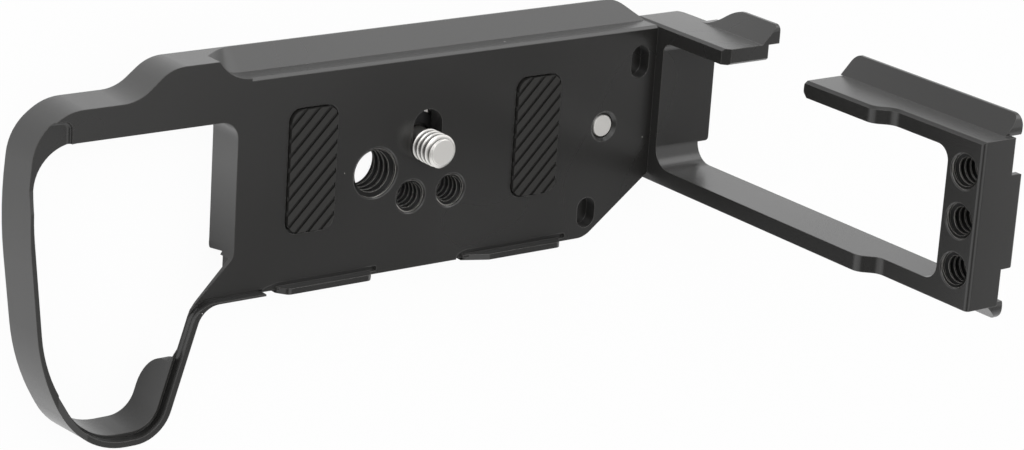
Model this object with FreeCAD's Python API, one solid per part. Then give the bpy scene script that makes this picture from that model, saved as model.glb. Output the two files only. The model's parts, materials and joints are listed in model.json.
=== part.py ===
"""Vertical camera bracket: a base plate with a grip loop, a side plate that slides out of it,
and the small parts that they carry.

Millimetres, +Z up. X = 0 is the camera screw's slot, Y = 0 the middle of the clamp rails and
Z = 0 the underside of the base plate. The side plate stands at +X, the camera's back is at +Y.
"""
import FreeCAD, Part
import math
import os

V = FreeCAD.Vector
ORIGIN = V(0, 0, 0)
UP = V(0, 0, 1)
ALONG_X = V(1, 0, 0)
ALONG_Y = V(0, 1, 0)
OVERCUT = 1.0                    # how far every cutter runs past the face that it opens

# Base plate
PLATE_THICKNESS = 8.4
PLATE_REACH = 52.96              # from the slot to the end that the side plate butts against
WINDOW_REACH = 40.9              # from the slot to the grip window's upright wall
RAIL_WIDTH = 38.0                # clamp rail, over the dovetail's lips
RAIL_LIP_DEPTH = 3.75            # dovetail's flank, from the lip in to the neck
RAIL_LIP_EDGE = 0.4              # upright edge below the 45 degree flank
RAIL_END_TAPER = 4.56
RAIL_END_RADIUS = 1.2
OUTLINE_RADIUS = 5.0             # of the plate's own obtuse corners in plan
FRONT_CORNER_RADIUS = 0.6
FRONT_OVERHANG = 6.35            # front flange, past the rail
FRONT_CORNER_LENGTH = 14.56      # slanted corner beside the side plate
FRONT_CORNER_DEPTH = 11.19
FLANGE_THICKNESS = 3.65
SEAT_EDGE_CHAMFER = 0.5
RUNOUT_RADIUS = 8.0              # cutter that ends the rail's neck
BACK_RUNOUT_SETBACK = 2.5        # from the grip window's wall
FRONT_RUNOUT_SETBACK = 6.0
FRONT_RAIL_SETBACK = 1.0         # the rail's front side beside the window stands back by this
FRONT_RAIL_FOOT_RADIUS = 1.2
FRONT_RAIL_LEAN = 0.6            # and leans back by this up to the flange

# Grip loop
LOOP_REACH = 41.3                # from the window's wall to the loop's left side
LOOP_DROP = 23.85                # from the plate's front edge to the loop's tip
LOOP_TIP_OFFSET = 14.5           # from the window's wall to the tip's near corner
LOOP_TIP_LENGTH = 15.2
LOOP_SHOULDER = 6.8              # from the window's wall to where the bar leaves the front edge
BACK_SHOULDER = (14.0, 20.3)     # from the window's wall, where the back edge steps in to the loop
BACK_SHOULDER_RADIUS = 8.0
LOOP_BACK_CORNER = (7.0, 1.4, 4.6)   # slanted corner: along the back, in from the left, down the left
LOOP_LEFT_BEND = 18.15           # from the back edge to the bend in the left side
LOOP_LOW_CORNER = (3.0, 14.6)    # from the left side and from the tip
LOOP_RADII = (9.5, 9.5, 80.0, 40.0, 14.0, 7.5, 4.5)    # round the loop, from its back left corner
LOOP_LEAN = 1.0                  # the outer wall leans out by about this at its foot
LEAN_SHARES = (0.4, 0.95, 1.15, 0.95, 1.0)   # of the back edge and of each corner down to the tip
LOOP_BACK_DROP = 5.4             # the back bar lies this far inside the rail's width
LOOP_LEFT_WALL = 0.85
LOOP_CORNER_WALL = 1.5
LOOP_TIP_WALL = 2.1
LOOP_BAR_WIDTH = 1.65
LOOP_SKIRT_WIDTH = 2.05          # the bar where it reaches down to the full depth
LOOP_BACK_BAR = 5.8
WINDOW_WALL_LENGTH = 25.3        # upright wall, from the back bar to the slanted edge
WINDOW_SLANT = (9.3, 9.0)
WINDOW_RADII = (3.5, 7.9, 50.0, 30.0, 11.0, 5.5, 8.0, 2.5)   # from the back bar, round the left and the tip
THIN_EDGE = 0.15                 # upright edge left above the bar's bevelled underside
THIN_EDGE_ROOT = 0.9             # the same edge where it starts at the rail
THIN_EDGE_ROOT_LENGTH = 10.0
THIN_EDGE_ROOT_RADIUS = 25.0
BAR_BEVEL_REACH = 20.0
SKIRT_SETBACK = 10.2             # from the plate's front edge to the end of the full-depth skirt
SKIRT_END_RADIUS = 6.5
SKIRT_TOP_SLOPE = (1.4, 0.8)     # between the skirt's end and the thin edge: along and down
SKIRT_JOG = (1.5, 2.5)           # the bar narrows between these, past the skirt's end
CORNER_POCKET_DEPTH = 0.8
CORNER_POCKET_LENGTH = 8.1       # along the back bar, from the loop's left side
CORNER_POCKET_EDGE = 1.75        # bar left behind the pocket
CORNER_POCKET_RADIUS = 1.5
CORNER_POCKET_FOOT_RADIUS = 1.0
CORNER_RAMP_START = 13.4         # down the left wall, from the back bar's edge
CORNER_RAMP_LENGTH = 4.0

# Rim and lips that hold the camera's front edge
RIM_HEIGHT = 1.5
RIM_THICKNESS = 0.35
BAR_RIM_THICKNESS = 1.1
RIM_RAMP_LENGTH = 5.0
RIM_END_REACH = 34.6             # from the slot
GROOVE_WIDTH = 0.5
GROOVE_DEPTH = 0.6
LIP_OVERHANG = 0.55              # how far a lip stands out of the front edge
LIP_THICKNESS = 1.15
LIP_GROOVE_WIDTH = 1.0
LIP_GROOVE_END = 0.6             # the groove runs on past the lip's right end by this
GROOVE_LEAD = 1.5                # and starts ahead of the right lip by this
LEFT_LIP = (-31.4, -10.5)
RIGHT_LIP = (9.8, 33.0)
LIP_END_SLOPE = 1.6
RIGHT_LIP_RAMP = 5.0
LIP_PLAN_SLOPE = 0.4             # share of an end's slope that is also cut back in plan
LIP_CORNER_RADIUS = 0.5
LIP_CREST_RADIUS = 1.2
LIP_GROOVE_RADII = (0.4, 3.0, 1.0)

# Holes in the seat
SMALL_THREAD_RADIUS = 3.175      # 1/4 inch, 20 threads to the inch
LARGE_THREAD_RADIUS = 4.7625     # 3/8 inch, 16 threads to the inch
THREAD_CHAMFER = 0.2
LARGE_THREAD_PLACE = (-11.1, -5.8)
SMALL_THREAD_PLACES = ((-3.0, -11.35), (6.0, -11.35))
SEAT_POCKET_WIDTH = 4.2
SEAT_POCKET_DEPTH = 2.5
SEAT_POCKETS = ((3.86, 7.4, 9.6), (14.5, -21.2, -19.4))     # from the plate's end; lower and upper end centre

# Camera screw in its slot
SCREW_REST_Y = -1.85
SCREW_TRAVEL = 3.6
SCREW_SLOT_CLEARANCE = 0.075
SCREW_STANDOUT = 5.3
SCREW_TIP_CHAMFER = 0.75
SCREW_NECK_RADIUS = 2.7          # plain neck in the slot, below the thread
SCREW_THREAD_START = 0.15        # thread's foot above the seat
SCREW_HEAD_RADIUS = 5.5
SCREW_HEAD_HEIGHT = 2.5
SCREW_KEY_WIDTH = 4.0
SCREW_KEY_DEPTH = 1.9
SCREW_COIN_SLOT_WIDTH = 1.4
SCREW_COIN_SLOT_DEPTH = 1.1
RECESS_CLEARANCE = 0.2
SLOT_WEB = 3.5                   # plate left between the slot's recess and the seat
WASHER_THICKNESS = 0.6
RUNNING_CLEARANCE = 0.05
CLIP_THICKNESS = 0.8
CLIP_FOOT_Z = 0.5
CLIP_GROOVE_DEPTH = 0.5
CLIP_OVERLAP = 0.6               # how far the clip reaches in over the screw's head
CLIP_GAP = 5.0

# Grip pads
PAD_CENTRE_X = 25.1
PAD_CENTRE_Y = -3.2
PAD_WIDTH = 10.5
PAD_LENGTH = 23.6
PAD_CORNER_RADIUS = 2.4
PAD_DEPTH = 1.2
PAD_PROUD = 0.55
PAD_CLEARANCE = 0.28
PAD_RIB_PITCH = 1.92
PAD_RIB_GROOVE_WIDTH = 0.65
PAD_RIB_GROOVE_DEPTH = 0.5

# Locating pin, wound down flush
PIN_SETBACK = 11.6               # from the plate's end
PIN_Y = -3.45
PIN_TIP_RADIUS = 2.4
PIN_THREAD_RADIUS = 3.0
PIN_REST_DROP = 0.4              # tip below the seat at rest
PIN_TIP_CROWN = 0.35
PIN_TRAVEL = 1.9
PIN_THREAD_LENGTH = 3.2
PIN_LEDGE = 1.0                  # plain guide above the threaded bore
PIN_MOUTH_CHAMFER = 0.6
PIN_KEY_WIDTH = 2.5
PIN_KEY_DEPTH = 1.6

# Side plate
SIDE_THICKNESS = 13.04
SIDE_UPPER_THICKNESS = 10.03     # above the step in its inner face
SIDE_HEIGHT = 94.5
SIDE_TOP_BAR = 8.5
SIDE_FLOOR = 10.5
SIDE_STEP_DROP = 22.8            # from the top to the step's upper end
SIDE_STEP_LENGTH = 2.6
SIDE_STEP_RADIUS = 2.8
SIDE_ARM_BEVEL = 0.5             # along the back arm's inner edge
SIDE_LIP_DEPTH = 3.5             # the same on the side plate
SIDE_ARM_WIDTH = 3.1
SIDE_WINDOW_RADII = (4.0, 2.0, 2.8)  # foot at the front, foot at the back, both at the top
SIDE_LIP_EDGE = 0.6
SIDE_LAND_WIDTH = 17.4
SIDE_LAND_RADIUS = 0.7
SIDE_LIP_ROOT = 0.1              # how far the lip's root reaches into the neck
SIDE_RELIEF_DEPTH = 2.6
SIDE_FOOT_RADIUS = 6.0
SIDE_RELIEF_FOOT_RADIUS = 4.0    # the same edge beside the land
SIDE_FOOT_EDGE_RADIUS = 2.2      # along the foot, front and back
ARM_GAP_FOOT = 28.6
ARM_GAP_HEIGHT = 22.1
ARM_END_CHAMFER = 1.3
ARM_END_EDGE = 0.4               # the same end, towards the window
ARM_TIP_ROUNDING = 0.9
ARM_TIP_SLOPE = 0.35             # at the corner beside the lip
LOWER_LIP_FOOT = 13.0            # the lip swells out from here at 45 degrees
LIP_SWELL_RADII = (6.6, 5.0)
SWELL_LEAD = 0.43                # the lip's root starts this share of the first radius below its swell
UPPER_LIP_LEAD = 0.2             # the upper lip starts this far below the arm's end
LIP_START_RADIUS = 1.2
SIDE_LIP_TOP_DROP = 1.2
SIDE_LIP_TOP_RADIUS = 2.2
SIDE_THREAD_DROP = 4.3
SIDE_THREAD_PITCH = 9.05
SIDE_EDGE_RADIUS = 0.4
SIDE_INNER_EDGE_RADIUS = 0.8

# Prongs under the base plate, and the screws that clamp them
PRONG_CENTRE_Y = 10.3
PRONG_WIDTH = 5.8
PRONG_THICKNESS = 2.35
PRONG_ROOF_WEB = 3.4             # plate left above a prong's channel
PRONG_SLIDE_CLEARANCE = 0.05
PRONG_TRAVEL = 14.0
PRONG_END_WALL = 2.6
PRONG_END_RADIUS = 1.0
CHANNEL_END_CLEARANCE = 0.3
CLAMP_SCREW_SETBACK = 17.0       # from the plate's end
CLAMP_SCREW_RADIUS = 1.5
CLAMP_SCREW_HOLE_DEPTH = 3.0     # blind, up from the channel's roof
CLAMP_SCREW_END_CLEARANCE = 0.3
CLAMP_SCREW_CLEARANCE = 0.1
CLAMP_HEAD_RADIUS = 2.75
CLAMP_HEAD_HEIGHT = 1.6
CLAMP_KEY_WIDTH = 2.0
CLAMP_KEY_DEPTH = 1.0
CLAMP_WASHER_THICKNESS = 0.5

# Sizes that follow
SEAT_Z = PLATE_THICKNESS
PLATE_END_X = PLATE_REACH
WINDOW_WALL_X = -WINDOW_REACH
RAIL_HALF = RAIL_WIDTH / 2
RAIL_NECK_WIDTH = RAIL_WIDTH - 2 * RAIL_LIP_DEPTH
NECK_HALF = RAIL_NECK_WIDTH / 2
RAIL_FLANK = RAIL_HALF - NECK_HALF
NECK_Z = RAIL_LIP_EDGE + RAIL_FLANK
PLATE_FRONT_Y = -RAIL_HALF - FRONT_OVERHANG
FLANGE_UNDERSIDE_Z = SEAT_Z - FLANGE_THICKNESS
BACK_RUNOUT_X = WINDOW_WALL_X + BACK_RUNOUT_SETBACK
FRONT_RUNOUT_X = WINDOW_WALL_X + FRONT_RUNOUT_SETBACK
FRONT_RAIL_END_Y = -RAIL_HALF + FRONT_RAIL_SETBACK
LOOP_LEFT_X = WINDOW_WALL_X - LOOP_REACH
LOOP_TIP_Y = PLATE_FRONT_Y - LOOP_DROP
LOOP_BACK_Y = RAIL_HALF - LOOP_BACK_DROP
LOOP_BAR_X = WINDOW_WALL_X - LOOP_SHOULDER
WINDOW_BACK_Y = LOOP_BACK_Y - LOOP_BACK_BAR
SKIRT_END_Y = PLATE_FRONT_Y - SKIRT_SETBACK
RIM_END_X = -RIM_END_REACH
LIP_OUTER_Y = PLATE_FRONT_Y - LIP_OVERHANG
LIP_INNER_Y = LIP_OUTER_Y + LIP_THICKNESS
SLOT_HALF = SMALL_THREAD_RADIUS + SCREW_SLOT_CLEARANCE
RECESS_HALF = SCREW_HEAD_RADIUS + RECESS_CLEARANCE
RECESS_ROOF_Z = SEAT_Z - SLOT_WEB
WASHER_TOP_Z = RECESS_ROOF_Z - RUNNING_CLEARANCE
SCREW_HEAD_TOP_Z = WASHER_TOP_Z - WASHER_THICKNESS - RUNNING_CLEARANCE
SCREW_HEAD_FOOT_Z = SCREW_HEAD_TOP_Z - SCREW_HEAD_HEIGHT
PIN_X = PLATE_END_X - PIN_SETBACK
PIN_TIP_Z = SEAT_Z - PIN_REST_DROP
PIN_LEDGE_Z = SEAT_Z - PIN_MOUTH_CHAMFER - PIN_LEDGE
PIN_THREAD_TOP_Z = PIN_LEDGE_Z - PIN_TRAVEL - RUNNING_CLEARANCE
PIN_FOOT_Z = PIN_THREAD_TOP_Z - PIN_THREAD_LENGTH
SIDE_OUTER_X = PLATE_END_X + SIDE_THICKNESS
SIDE_UPPER_X = SIDE_OUTER_X - SIDE_UPPER_THICKNESS
SIDE_NECK_WIDTH = RAIL_WIDTH - 2 * SIDE_LIP_DEPTH
SIDE_NECK_HALF = SIDE_NECK_WIDTH / 2
SIDE_WINDOW_HALF = SIDE_NECK_HALF - SIDE_ARM_WIDTH
SIDE_WINDOW_TOP_Z = SIDE_HEIGHT - SIDE_TOP_BAR
SIDE_FLANK_X = SIDE_OUTER_X - SIDE_LIP_EDGE - (RAIL_HALF - SIDE_NECK_HALF)
SIDE_RELIEF_X = SIDE_OUTER_X - SIDE_RELIEF_DEPTH
SIDE_LIP_TOP_Z = SIDE_HEIGHT - SIDE_LIP_TOP_DROP
PRONG_ROOF_Z = SEAT_Z - PRONG_ROOF_WEB
PRONG_TOP_Z = PRONG_ROOF_Z - PRONG_SLIDE_CLEARANCE
PRONG_FOOT_Z = PRONG_TOP_Z - PRONG_THICKNESS
CLAMP_SCREW_X = PLATE_END_X - CLAMP_SCREW_SETBACK
PRONG_SLOT_HALF = CLAMP_SCREW_RADIUS + CLAMP_SCREW_CLEARANCE
PRONG_SLOT_INNER_X = CLAMP_SCREW_X - PRONG_TRAVEL
PRONG_TIP_X = PRONG_SLOT_INNER_X - PRONG_SLOT_HALF - PRONG_END_WALL
CLAMP_WASHER_TOP_Z = PRONG_FOOT_Z
CLAMP_HEAD_TOP_Z = CLAMP_WASHER_TOP_Z - CLAMP_WASHER_THICKNESS


def limited_radii(corners):
    """Each corner's radius, reduced where its rounding would be longer than the sides beside it."""
    count = len(corners)
    reaches = []
    for index in range(count):
        u, v, radius = corners[index]
        before = corners[index - 1]
        after = corners[(index + 1) % count]
        back = V(before[0] - u, before[1] - v, 0)
        ahead = V(after[0] - u, after[1] - v, 0)
        reaches.append(radius * math.tan((math.pi - back.getAngle(ahead)) / 2))
    factors = [1.0] * count
    for index in range(count):
        after = (index + 1) % count
        side = math.dist(corners[index][:2], corners[after][:2])
        taken = reaches[index] + reaches[after]
        if taken > side * 1.0001:
            factors[index] = min(factors[index], 0.98 * side / taken)
            factors[after] = min(factors[after], 0.98 * side / taken)
    return [corner[2] * factor for corner, factor in zip(corners, factors)]


def rounded_wire(corners, place):
    """Closed wire through corners of u, v and a radius; place turns u, v into a point."""
    count = len(corners)
    radii = limited_radii(corners)
    ends = []
    for index in range(count):
        u, v = corners[index][:2]
        radius = radii[index]
        before = corners[index - 1]
        after = corners[(index + 1) % count]
        back = V(before[0] - u, before[1] - v, 0).normalize()
        ahead = V(after[0] - u, after[1] - v, 0).normalize()
        turn = math.pi - back.getAngle(ahead)
        corner = V(u, v, 0)
        if radius <= 0 or turn < 1e-6:
            ends.append((corner, None, corner))
            continue
        reach = radius * math.tan(turn / 2)
        centre = corner + (back + ahead).normalize() * (radius / math.cos(turn / 2))
        middle = centre + (corner - centre).normalize() * radius
        ends.append((corner + back * reach, middle, corner + ahead * reach))
    edges = []
    for index in range(count):
        start, middle, end = ends[index]
        if middle is not None:
            arc = [place(point.x, point.y) for point in (start, middle, end)]
            edges.append(Part.Arc(*arc).toShape())
        next_start = ends[(index + 1) % count][0]
        if end.distanceToPoint(next_start) > 1e-6:
            edges.append(Part.LineSegment(place(end.x, end.y), place(next_start.x, next_start.y)).toShape())
    return Part.Wire(edges)


def plan_prism(corners, z0, z1):
    """Prism of a plan outline between two heights."""
    wire = rounded_wire(corners, lambda x, y: V(x, y, z0))
    return Part.Face(wire).extrude(UP * (z1 - z0))


def section_prism(corners, x0, x1):
    """Prism along X of an outline in Y and Z."""
    wire = rounded_wire(corners, lambda y, z: V(x0, y, z))
    return Part.Face(wire).extrude(ALONG_X * (x1 - x0))


def profile_prism(corners, y0, y1):
    """Prism along Y of an outline in X and Z."""
    wire = rounded_wire(corners, lambda x, z: V(x, y0, z))
    return Part.Face(wire).extrude(ALONG_Y * (y1 - y0))


def box(x, y, z):
    """Box between pairs of coordinates."""
    return Part.makeBox(x[1] - x[0], y[1] - y[0], z[1] - z[0], V(x[0], y[0], z[0]))


def upright_cylinder(radius, x, y, z0, z1):
    return Part.makeCylinder(radius, z1 - z0, V(x, y, z0), UP)


def upright_slot(half_width, x, y0, y1, z0, z1):
    """Slot with round ends along Y, its end centres at y0 and y1."""
    corners = [(x - half_width, y0 - half_width, half_width), (x + half_width, y0 - half_width, half_width),
               (x + half_width, y1 + half_width, half_width), (x - half_width, y1 + half_width, half_width)]
    return plan_prism(corners, z0, z1)


def hexagon_prism(width, x, y, z0, z1):
    """Six-sided socket of a width across flats."""
    radius = width / math.sqrt(3)
    points = [V(x + radius * math.cos(math.radians(60 * k)), y + radius * math.sin(math.radians(60 * k)), z0)
              for k in range(6)]
    return Part.Face(Part.makePolygon(points + [points[0]])).extrude(UP * (z1 - z0))


def threaded_bore(radius, foot, axis, length):
    """Bore at a thread's outer radius, with a chamfered mouth at both ends."""
    bore = Part.makeCylinder(radius, length + 2 * OVERCUT, foot - axis * OVERCUT, axis)
    mouth_radius = radius + THREAD_CHAMFER + OVERCUT
    near = Part.makeCone(mouth_radius, radius, THREAD_CHAMFER + OVERCUT, foot - axis * OVERCUT, axis)
    far = Part.makeCone(mouth_radius, radius, THREAD_CHAMFER + OVERCUT,
                        foot + axis * (length + OVERCUT), -axis)
    return bore.fuse([near, far])


def crossing(p, d, q, e):
    """Point where the line from p along d crosses the line from q along e."""
    return p + d * (((q.x - p.x) * e.y - (q.y - p.y) * e.x) / (d.x * e.y - d.y * e.x))


def inset_corners(corners, widths, radii):
    """Corners of an outline whose side after each corner is moved inwards by that side's width."""
    count = len(corners)
    lines = []
    for index in range(count):
        start = V(corners[index][0], corners[index][1], 0)
        after = corners[(index + 1) % count]
        along = V(after[0] - start.x, after[1] - start.y, 0).normalize()
        inward = V(-along.y, along.x, 0)
        lines.append((start + inward * widths[index], along))
    moved = []
    for index in range(count):
        corner = crossing(*lines[index - 1], *lines[index])
        moved.append((corner.x, corner.y, radii[index]))
    return moved


def base_outline(lean):
    """Plan outline of the base plate and the loop, with the loop's outer wall moved out by lean."""
    back, upper, left, low, far = [share * lean for share in LEAN_SHARES]
    corner_along, corner_in, corner_down = LOOP_BACK_CORNER
    low_in, low_up = LOOP_LOW_CORNER
    back_y = LOOP_BACK_Y + back
    tip_x = WINDOW_WALL_X - LOOP_TIP_OFFSET
    far_x = tip_x - LOOP_TIP_LENGTH
    radii = LOOP_RADII
    return [
        (PLATE_END_X, NECK_HALF, RAIL_END_RADIUS), (PLATE_END_X - RAIL_END_TAPER, RAIL_HALF, OUTLINE_RADIUS),
        (WINDOW_WALL_X - BACK_SHOULDER[0], RAIL_HALF, BACK_SHOULDER_RADIUS),
        (WINDOW_WALL_X - BACK_SHOULDER[1], back_y, BACK_SHOULDER_RADIUS),
        (LOOP_LEFT_X + corner_along, back_y, radii[0]),
        (LOOP_LEFT_X + corner_in - upper, back_y - corner_down, radii[1]),
        (LOOP_LEFT_X - left, LOOP_BACK_Y - LOOP_LEFT_BEND, radii[2]),
        (LOOP_LEFT_X + low_in - low, LOOP_TIP_Y + low_up + low, radii[3]),
        (far_x - far, LOOP_TIP_Y, radii[4]), (tip_x, LOOP_TIP_Y, radii[5]),
        (LOOP_BAR_X, PLATE_FRONT_Y, radii[6]),
        (PLATE_END_X - FRONT_CORNER_LENGTH, PLATE_FRONT_Y, OUTLINE_RADIUS),
        (PLATE_END_X, PLATE_FRONT_Y + FRONT_CORNER_DEPTH, FRONT_CORNER_RADIUS),
    ]


def base_stock():
    """Plate and loop as one block, leaning out at the loop's left."""
    foot = rounded_wire(base_outline(LOOP_LEAN), lambda x, y: V(x, y, 0))
    top = rounded_wire(base_outline(0), lambda x, y: V(x, y, SEAT_Z))
    return Part.makeLoft([foot, top], True, True)


def bar_edge(width, y):
    """Point of the loop's inner bar, in from its outer side by a width, at a given Y."""
    tip, shoulder = base_outline(0)[9:11]
    along = V(shoulder[0] - tip[0], shoulder[1] - tip[1], 0).normalize()
    start = V(tip[0] - along.y * width, tip[1] + along.x * width, 0)
    return start + along * ((y - start.y) / along.y)


def window_corners():
    """Plan outline of the grip window: the loop's outline less the width of each wall."""
    left_top, left, left_low, tip_far, tip_near, shoulder = [corner[:2] for corner in base_outline(0)[5:11]]
    outer = [(WINDOW_WALL_X, LOOP_BACK_Y), (left_top[0], LOOP_BACK_Y), left, left_low, tip_far, tip_near,
             shoulder]
    widths = [LOOP_BACK_BAR, LOOP_LEFT_WALL, LOOP_LEFT_WALL, LOOP_CORNER_WALL, LOOP_TIP_WALL,
              LOOP_SKIRT_WIDTH, 0]
    round_loop = inset_corners(outer, widths, WINDOW_RADII[:7])[1:6]
    skirt_top = bar_edge(LOOP_SKIRT_WIDTH, SKIRT_END_Y + SKIRT_JOG[0])
    bar_foot = bar_edge(LOOP_BAR_WIDTH, SKIRT_END_Y + SKIRT_JOG[1])
    slant_end = V(WINDOW_WALL_X, WINDOW_BACK_Y - WINDOW_WALL_LENGTH, 0)
    along = bar_edge(LOOP_BAR_WIDTH, PLATE_FRONT_Y) - bar_foot
    knee = crossing(bar_foot, along, slant_end, V(*WINDOW_SLANT, 0))
    return [(WINDOW_WALL_X, WINDOW_BACK_Y, WINDOW_RADII[0]), *round_loop, (skirt_top.x, skirt_top.y, 0),
            (bar_foot.x, bar_foot.y, 0), (knee.x, knee.y, WINDOW_RADII[6]),
            (slant_end.x, slant_end.y, WINDOW_RADII[7])]


def rail_neck_cutter(runout_x, side, top_z):
    """Cuts one side of the dovetail rail: a straight pass that ends in the round of the cutter."""
    centre_y = side * (NECK_HALF + RUNOUT_RADIUS)
    lip_radius = RUNOUT_RADIUS - RAIL_FLANK
    half = [(0, RAIL_LIP_EDGE), (lip_radius, RAIL_LIP_EDGE), (RUNOUT_RADIUS, NECK_Z), (RUNOUT_RADIUS, top_z),
            (0, top_z)]
    profile = [V(runout_x + r, centre_y, z) for r, z in half]
    round_end = Part.Face(Part.makePolygon(profile + [profile[0]])).revolve(V(runout_x, centre_y, 0), UP, 360)
    both = [(centre_y + r, z, 0) for r, z in half[1:4]]
    both += [(centre_y - r, z, 0) for r, z in reversed(half[1:4])]
    return section_prism(both, runout_x, PLATE_END_X + OVERCUT).fuse(round_end)


def flange_cutter():
    """Clears the clamp's jaw under the front flange."""
    reach_y = LIP_OUTER_Y - OVERCUT
    ahead = box((FRONT_RUNOUT_X, PLATE_END_X + OVERCUT), (reach_y, -RAIL_HALF), (-OVERCUT, FLANGE_UNDERSIDE_Z))
    end_y, r = FRONT_RAIL_END_Y, FRONT_RAIL_FOOT_RADIUS
    corners = [(reach_y, -OVERCUT, 0), (end_y + 2 * r, -OVERCUT, 0), (end_y + 2 * r, 0, 0), (end_y, 0, r),
               (end_y + FRONT_RAIL_LEAN, FLANGE_UNDERSIDE_Z, 0), (reach_y, FLANGE_UNDERSIDE_Z, 0)]
    beside = section_prism(corners, LOOP_BAR_X - OVERCUT, FRONT_RUNOUT_X)
    return ahead.fuse(beside)


def bevel_prism(edge_start, edge_end):
    """Space under a 45 degree bevel that falls away to the right of an edge, seen along the edge."""
    start = V(edge_start[0], edge_start[1], 0)
    along = V(edge_end[0] - start.x, edge_end[1] - start.y, 0).normalize()
    right = V(along.y, -along.x, 0)
    top_z = SEAT_Z - THIN_EDGE
    reach = BAR_BEVEL_REACH
    section = [(-reach, top_z), (0, top_z), (top_z + OVERCUT, -OVERCUT), (-reach, -OVERCUT)]
    points = [start - along * reach + right * offset + UP * z for offset, z in section]
    return Part.Face(Part.makePolygon(points + [points[0]])).extrude(along * (3 * reach))


def thin_bar_cutter():
    """Bevels the loop's inner bar and the slanted edge from below, as far as the round end of the skirt."""
    tip, _, bar_foot, knee, slant_end = window_corners()[5:]
    under = bevel_prism(bar_foot, knee).fuse(bevel_prism(knee, slant_end))
    top_z = SEAT_Z - THIN_EDGE
    root_z = SEAT_Z - THIN_EDGE_ROOT
    foot_y = SKIRT_END_Y - SKIRT_END_RADIUS - OVERCUT
    slope_along, slope_down = SKIRT_TOP_SLOPE
    reach = [(FRONT_RAIL_END_Y, -OVERCUT, 0), (FRONT_RAIL_END_Y, root_z, 0),
             (FRONT_RAIL_END_Y - THIN_EDGE_ROOT_LENGTH, top_z, THIN_EDGE_ROOT_RADIUS),
             (SKIRT_END_Y + slope_along, top_z, 0), (SKIRT_END_Y, top_z - slope_down, 0),
             (SKIRT_END_Y, 0, SKIRT_END_RADIUS), (foot_y, 0, 0), (foot_y, -OVERCUT, 0)]
    return under.common(section_prism(reach, tip[0] - OVERCUT, WINDOW_WALL_X))


def corner_pocket():
    """Lowers the loop's back left corner, with a ramp back up along its left wall."""
    floor_z = SEAT_Z - CORNER_POCKET_DEPTH
    wall_x = LOOP_LEFT_X + CORNER_POCKET_LENGTH
    outside_x = LOOP_LEFT_X - LOOP_LEAN - OVERCUT
    edge_y = LOOP_BACK_Y - CORNER_POCKET_EDGE
    ramp_y = LOOP_BACK_Y - CORNER_RAMP_START
    corners = [(wall_x, ramp_y, 0), (wall_x, edge_y, CORNER_POCKET_RADIUS), (outside_x, edge_y, 0),
               (outside_x, ramp_y, 0)]
    pocket = plan_prism(corners, floor_z, SEAT_Z + OVERCUT)
    wall_foot = [edge for edge in pocket.Edges
                 if edge.BoundBox.ZMax < floor_z + 1e-6 and edge.BoundBox.XMin > wall_x - 1e-6]
    pocket = pocket.makeFillet(min(CORNER_POCKET_FOOT_RADIUS, 0.9 * CORNER_POCKET_DEPTH), wall_foot)
    slope = [(ramp_y, floor_z, 0), (ramp_y - CORNER_RAMP_LENGTH, SEAT_Z, 0), (ramp_y, SEAT_Z + OVERCUT, 0)]
    return pocket.fuse(section_prism(slope, outside_x, wall_x))


def rim_corners(inset):
    """Plan outline of the space inside the rim, moved in by inset, round the tip and along the front."""
    outline = base_outline(0)
    bar = BAR_RIM_THICKNESS + inset
    front = RIM_THICKNESS + inset
    widths = [bar] * len(outline)
    widths[10] = front                       # the side along the plate's front edge
    radii = [corner[2] for corner in outline]
    radii[8] -= bar                          # the two corners of the loop's tip
    radii[9] -= bar
    radii[0] = radii[-1] = 0
    return inset_corners([corner[:2] for corner in outline], widths, radii)


def rim_reach(z0, z1, end_x):
    """Block that holds the rim's part of the outline, from the loop's left corner to end_x."""
    start_x = WINDOW_WALL_X - LOOP_TIP_OFFSET - LOOP_TIP_LENGTH - RIM_RAMP_LENGTH
    return box((start_x, end_x), (LOOP_TIP_Y - OVERCUT, PLATE_FRONT_Y + 3 * GROOVE_WIDTH), (z0, z1))


def rim():
    """Raised rim round the loop's tip, along its inner bar and the plate's front edge."""
    z0 = SEAT_Z
    z1 = SEAT_Z + RIM_HEIGHT
    ring = plan_prism(base_outline(0), z0, z1).cut(plan_prism(rim_corners(0), z0 - OVERCUT, z1 + OVERCUT))
    reach = rim_reach(z0, z1, RIM_END_X)
    ramp_x = reach.BoundBox.XMin
    ramp = profile_prism([(ramp_x - OVERCUT, z0, 0), (ramp_x, z0, 0), (ramp_x + RIM_RAMP_LENGTH, z1, 0),
                          (ramp_x - OVERCUT, z1 + OVERCUT, 0)], LOOP_TIP_Y - OVERCUT, PLATE_FRONT_Y)
    return ring.common(reach).cut(ramp)


def rim_groove():
    """Relief groove at the rim's root."""
    z0 = SEAT_Z - GROOVE_DEPTH
    z1 = SEAT_Z + OVERCUT
    outer = plan_prism(rim_corners(0), z0, z1)
    groove = outer.cut(plan_prism(rim_corners(GROOVE_WIDTH), z0 - OVERCUT, z1 + OVERCUT))
    return groove.common(rim_reach(z0, z1, RIM_END_X))


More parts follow.
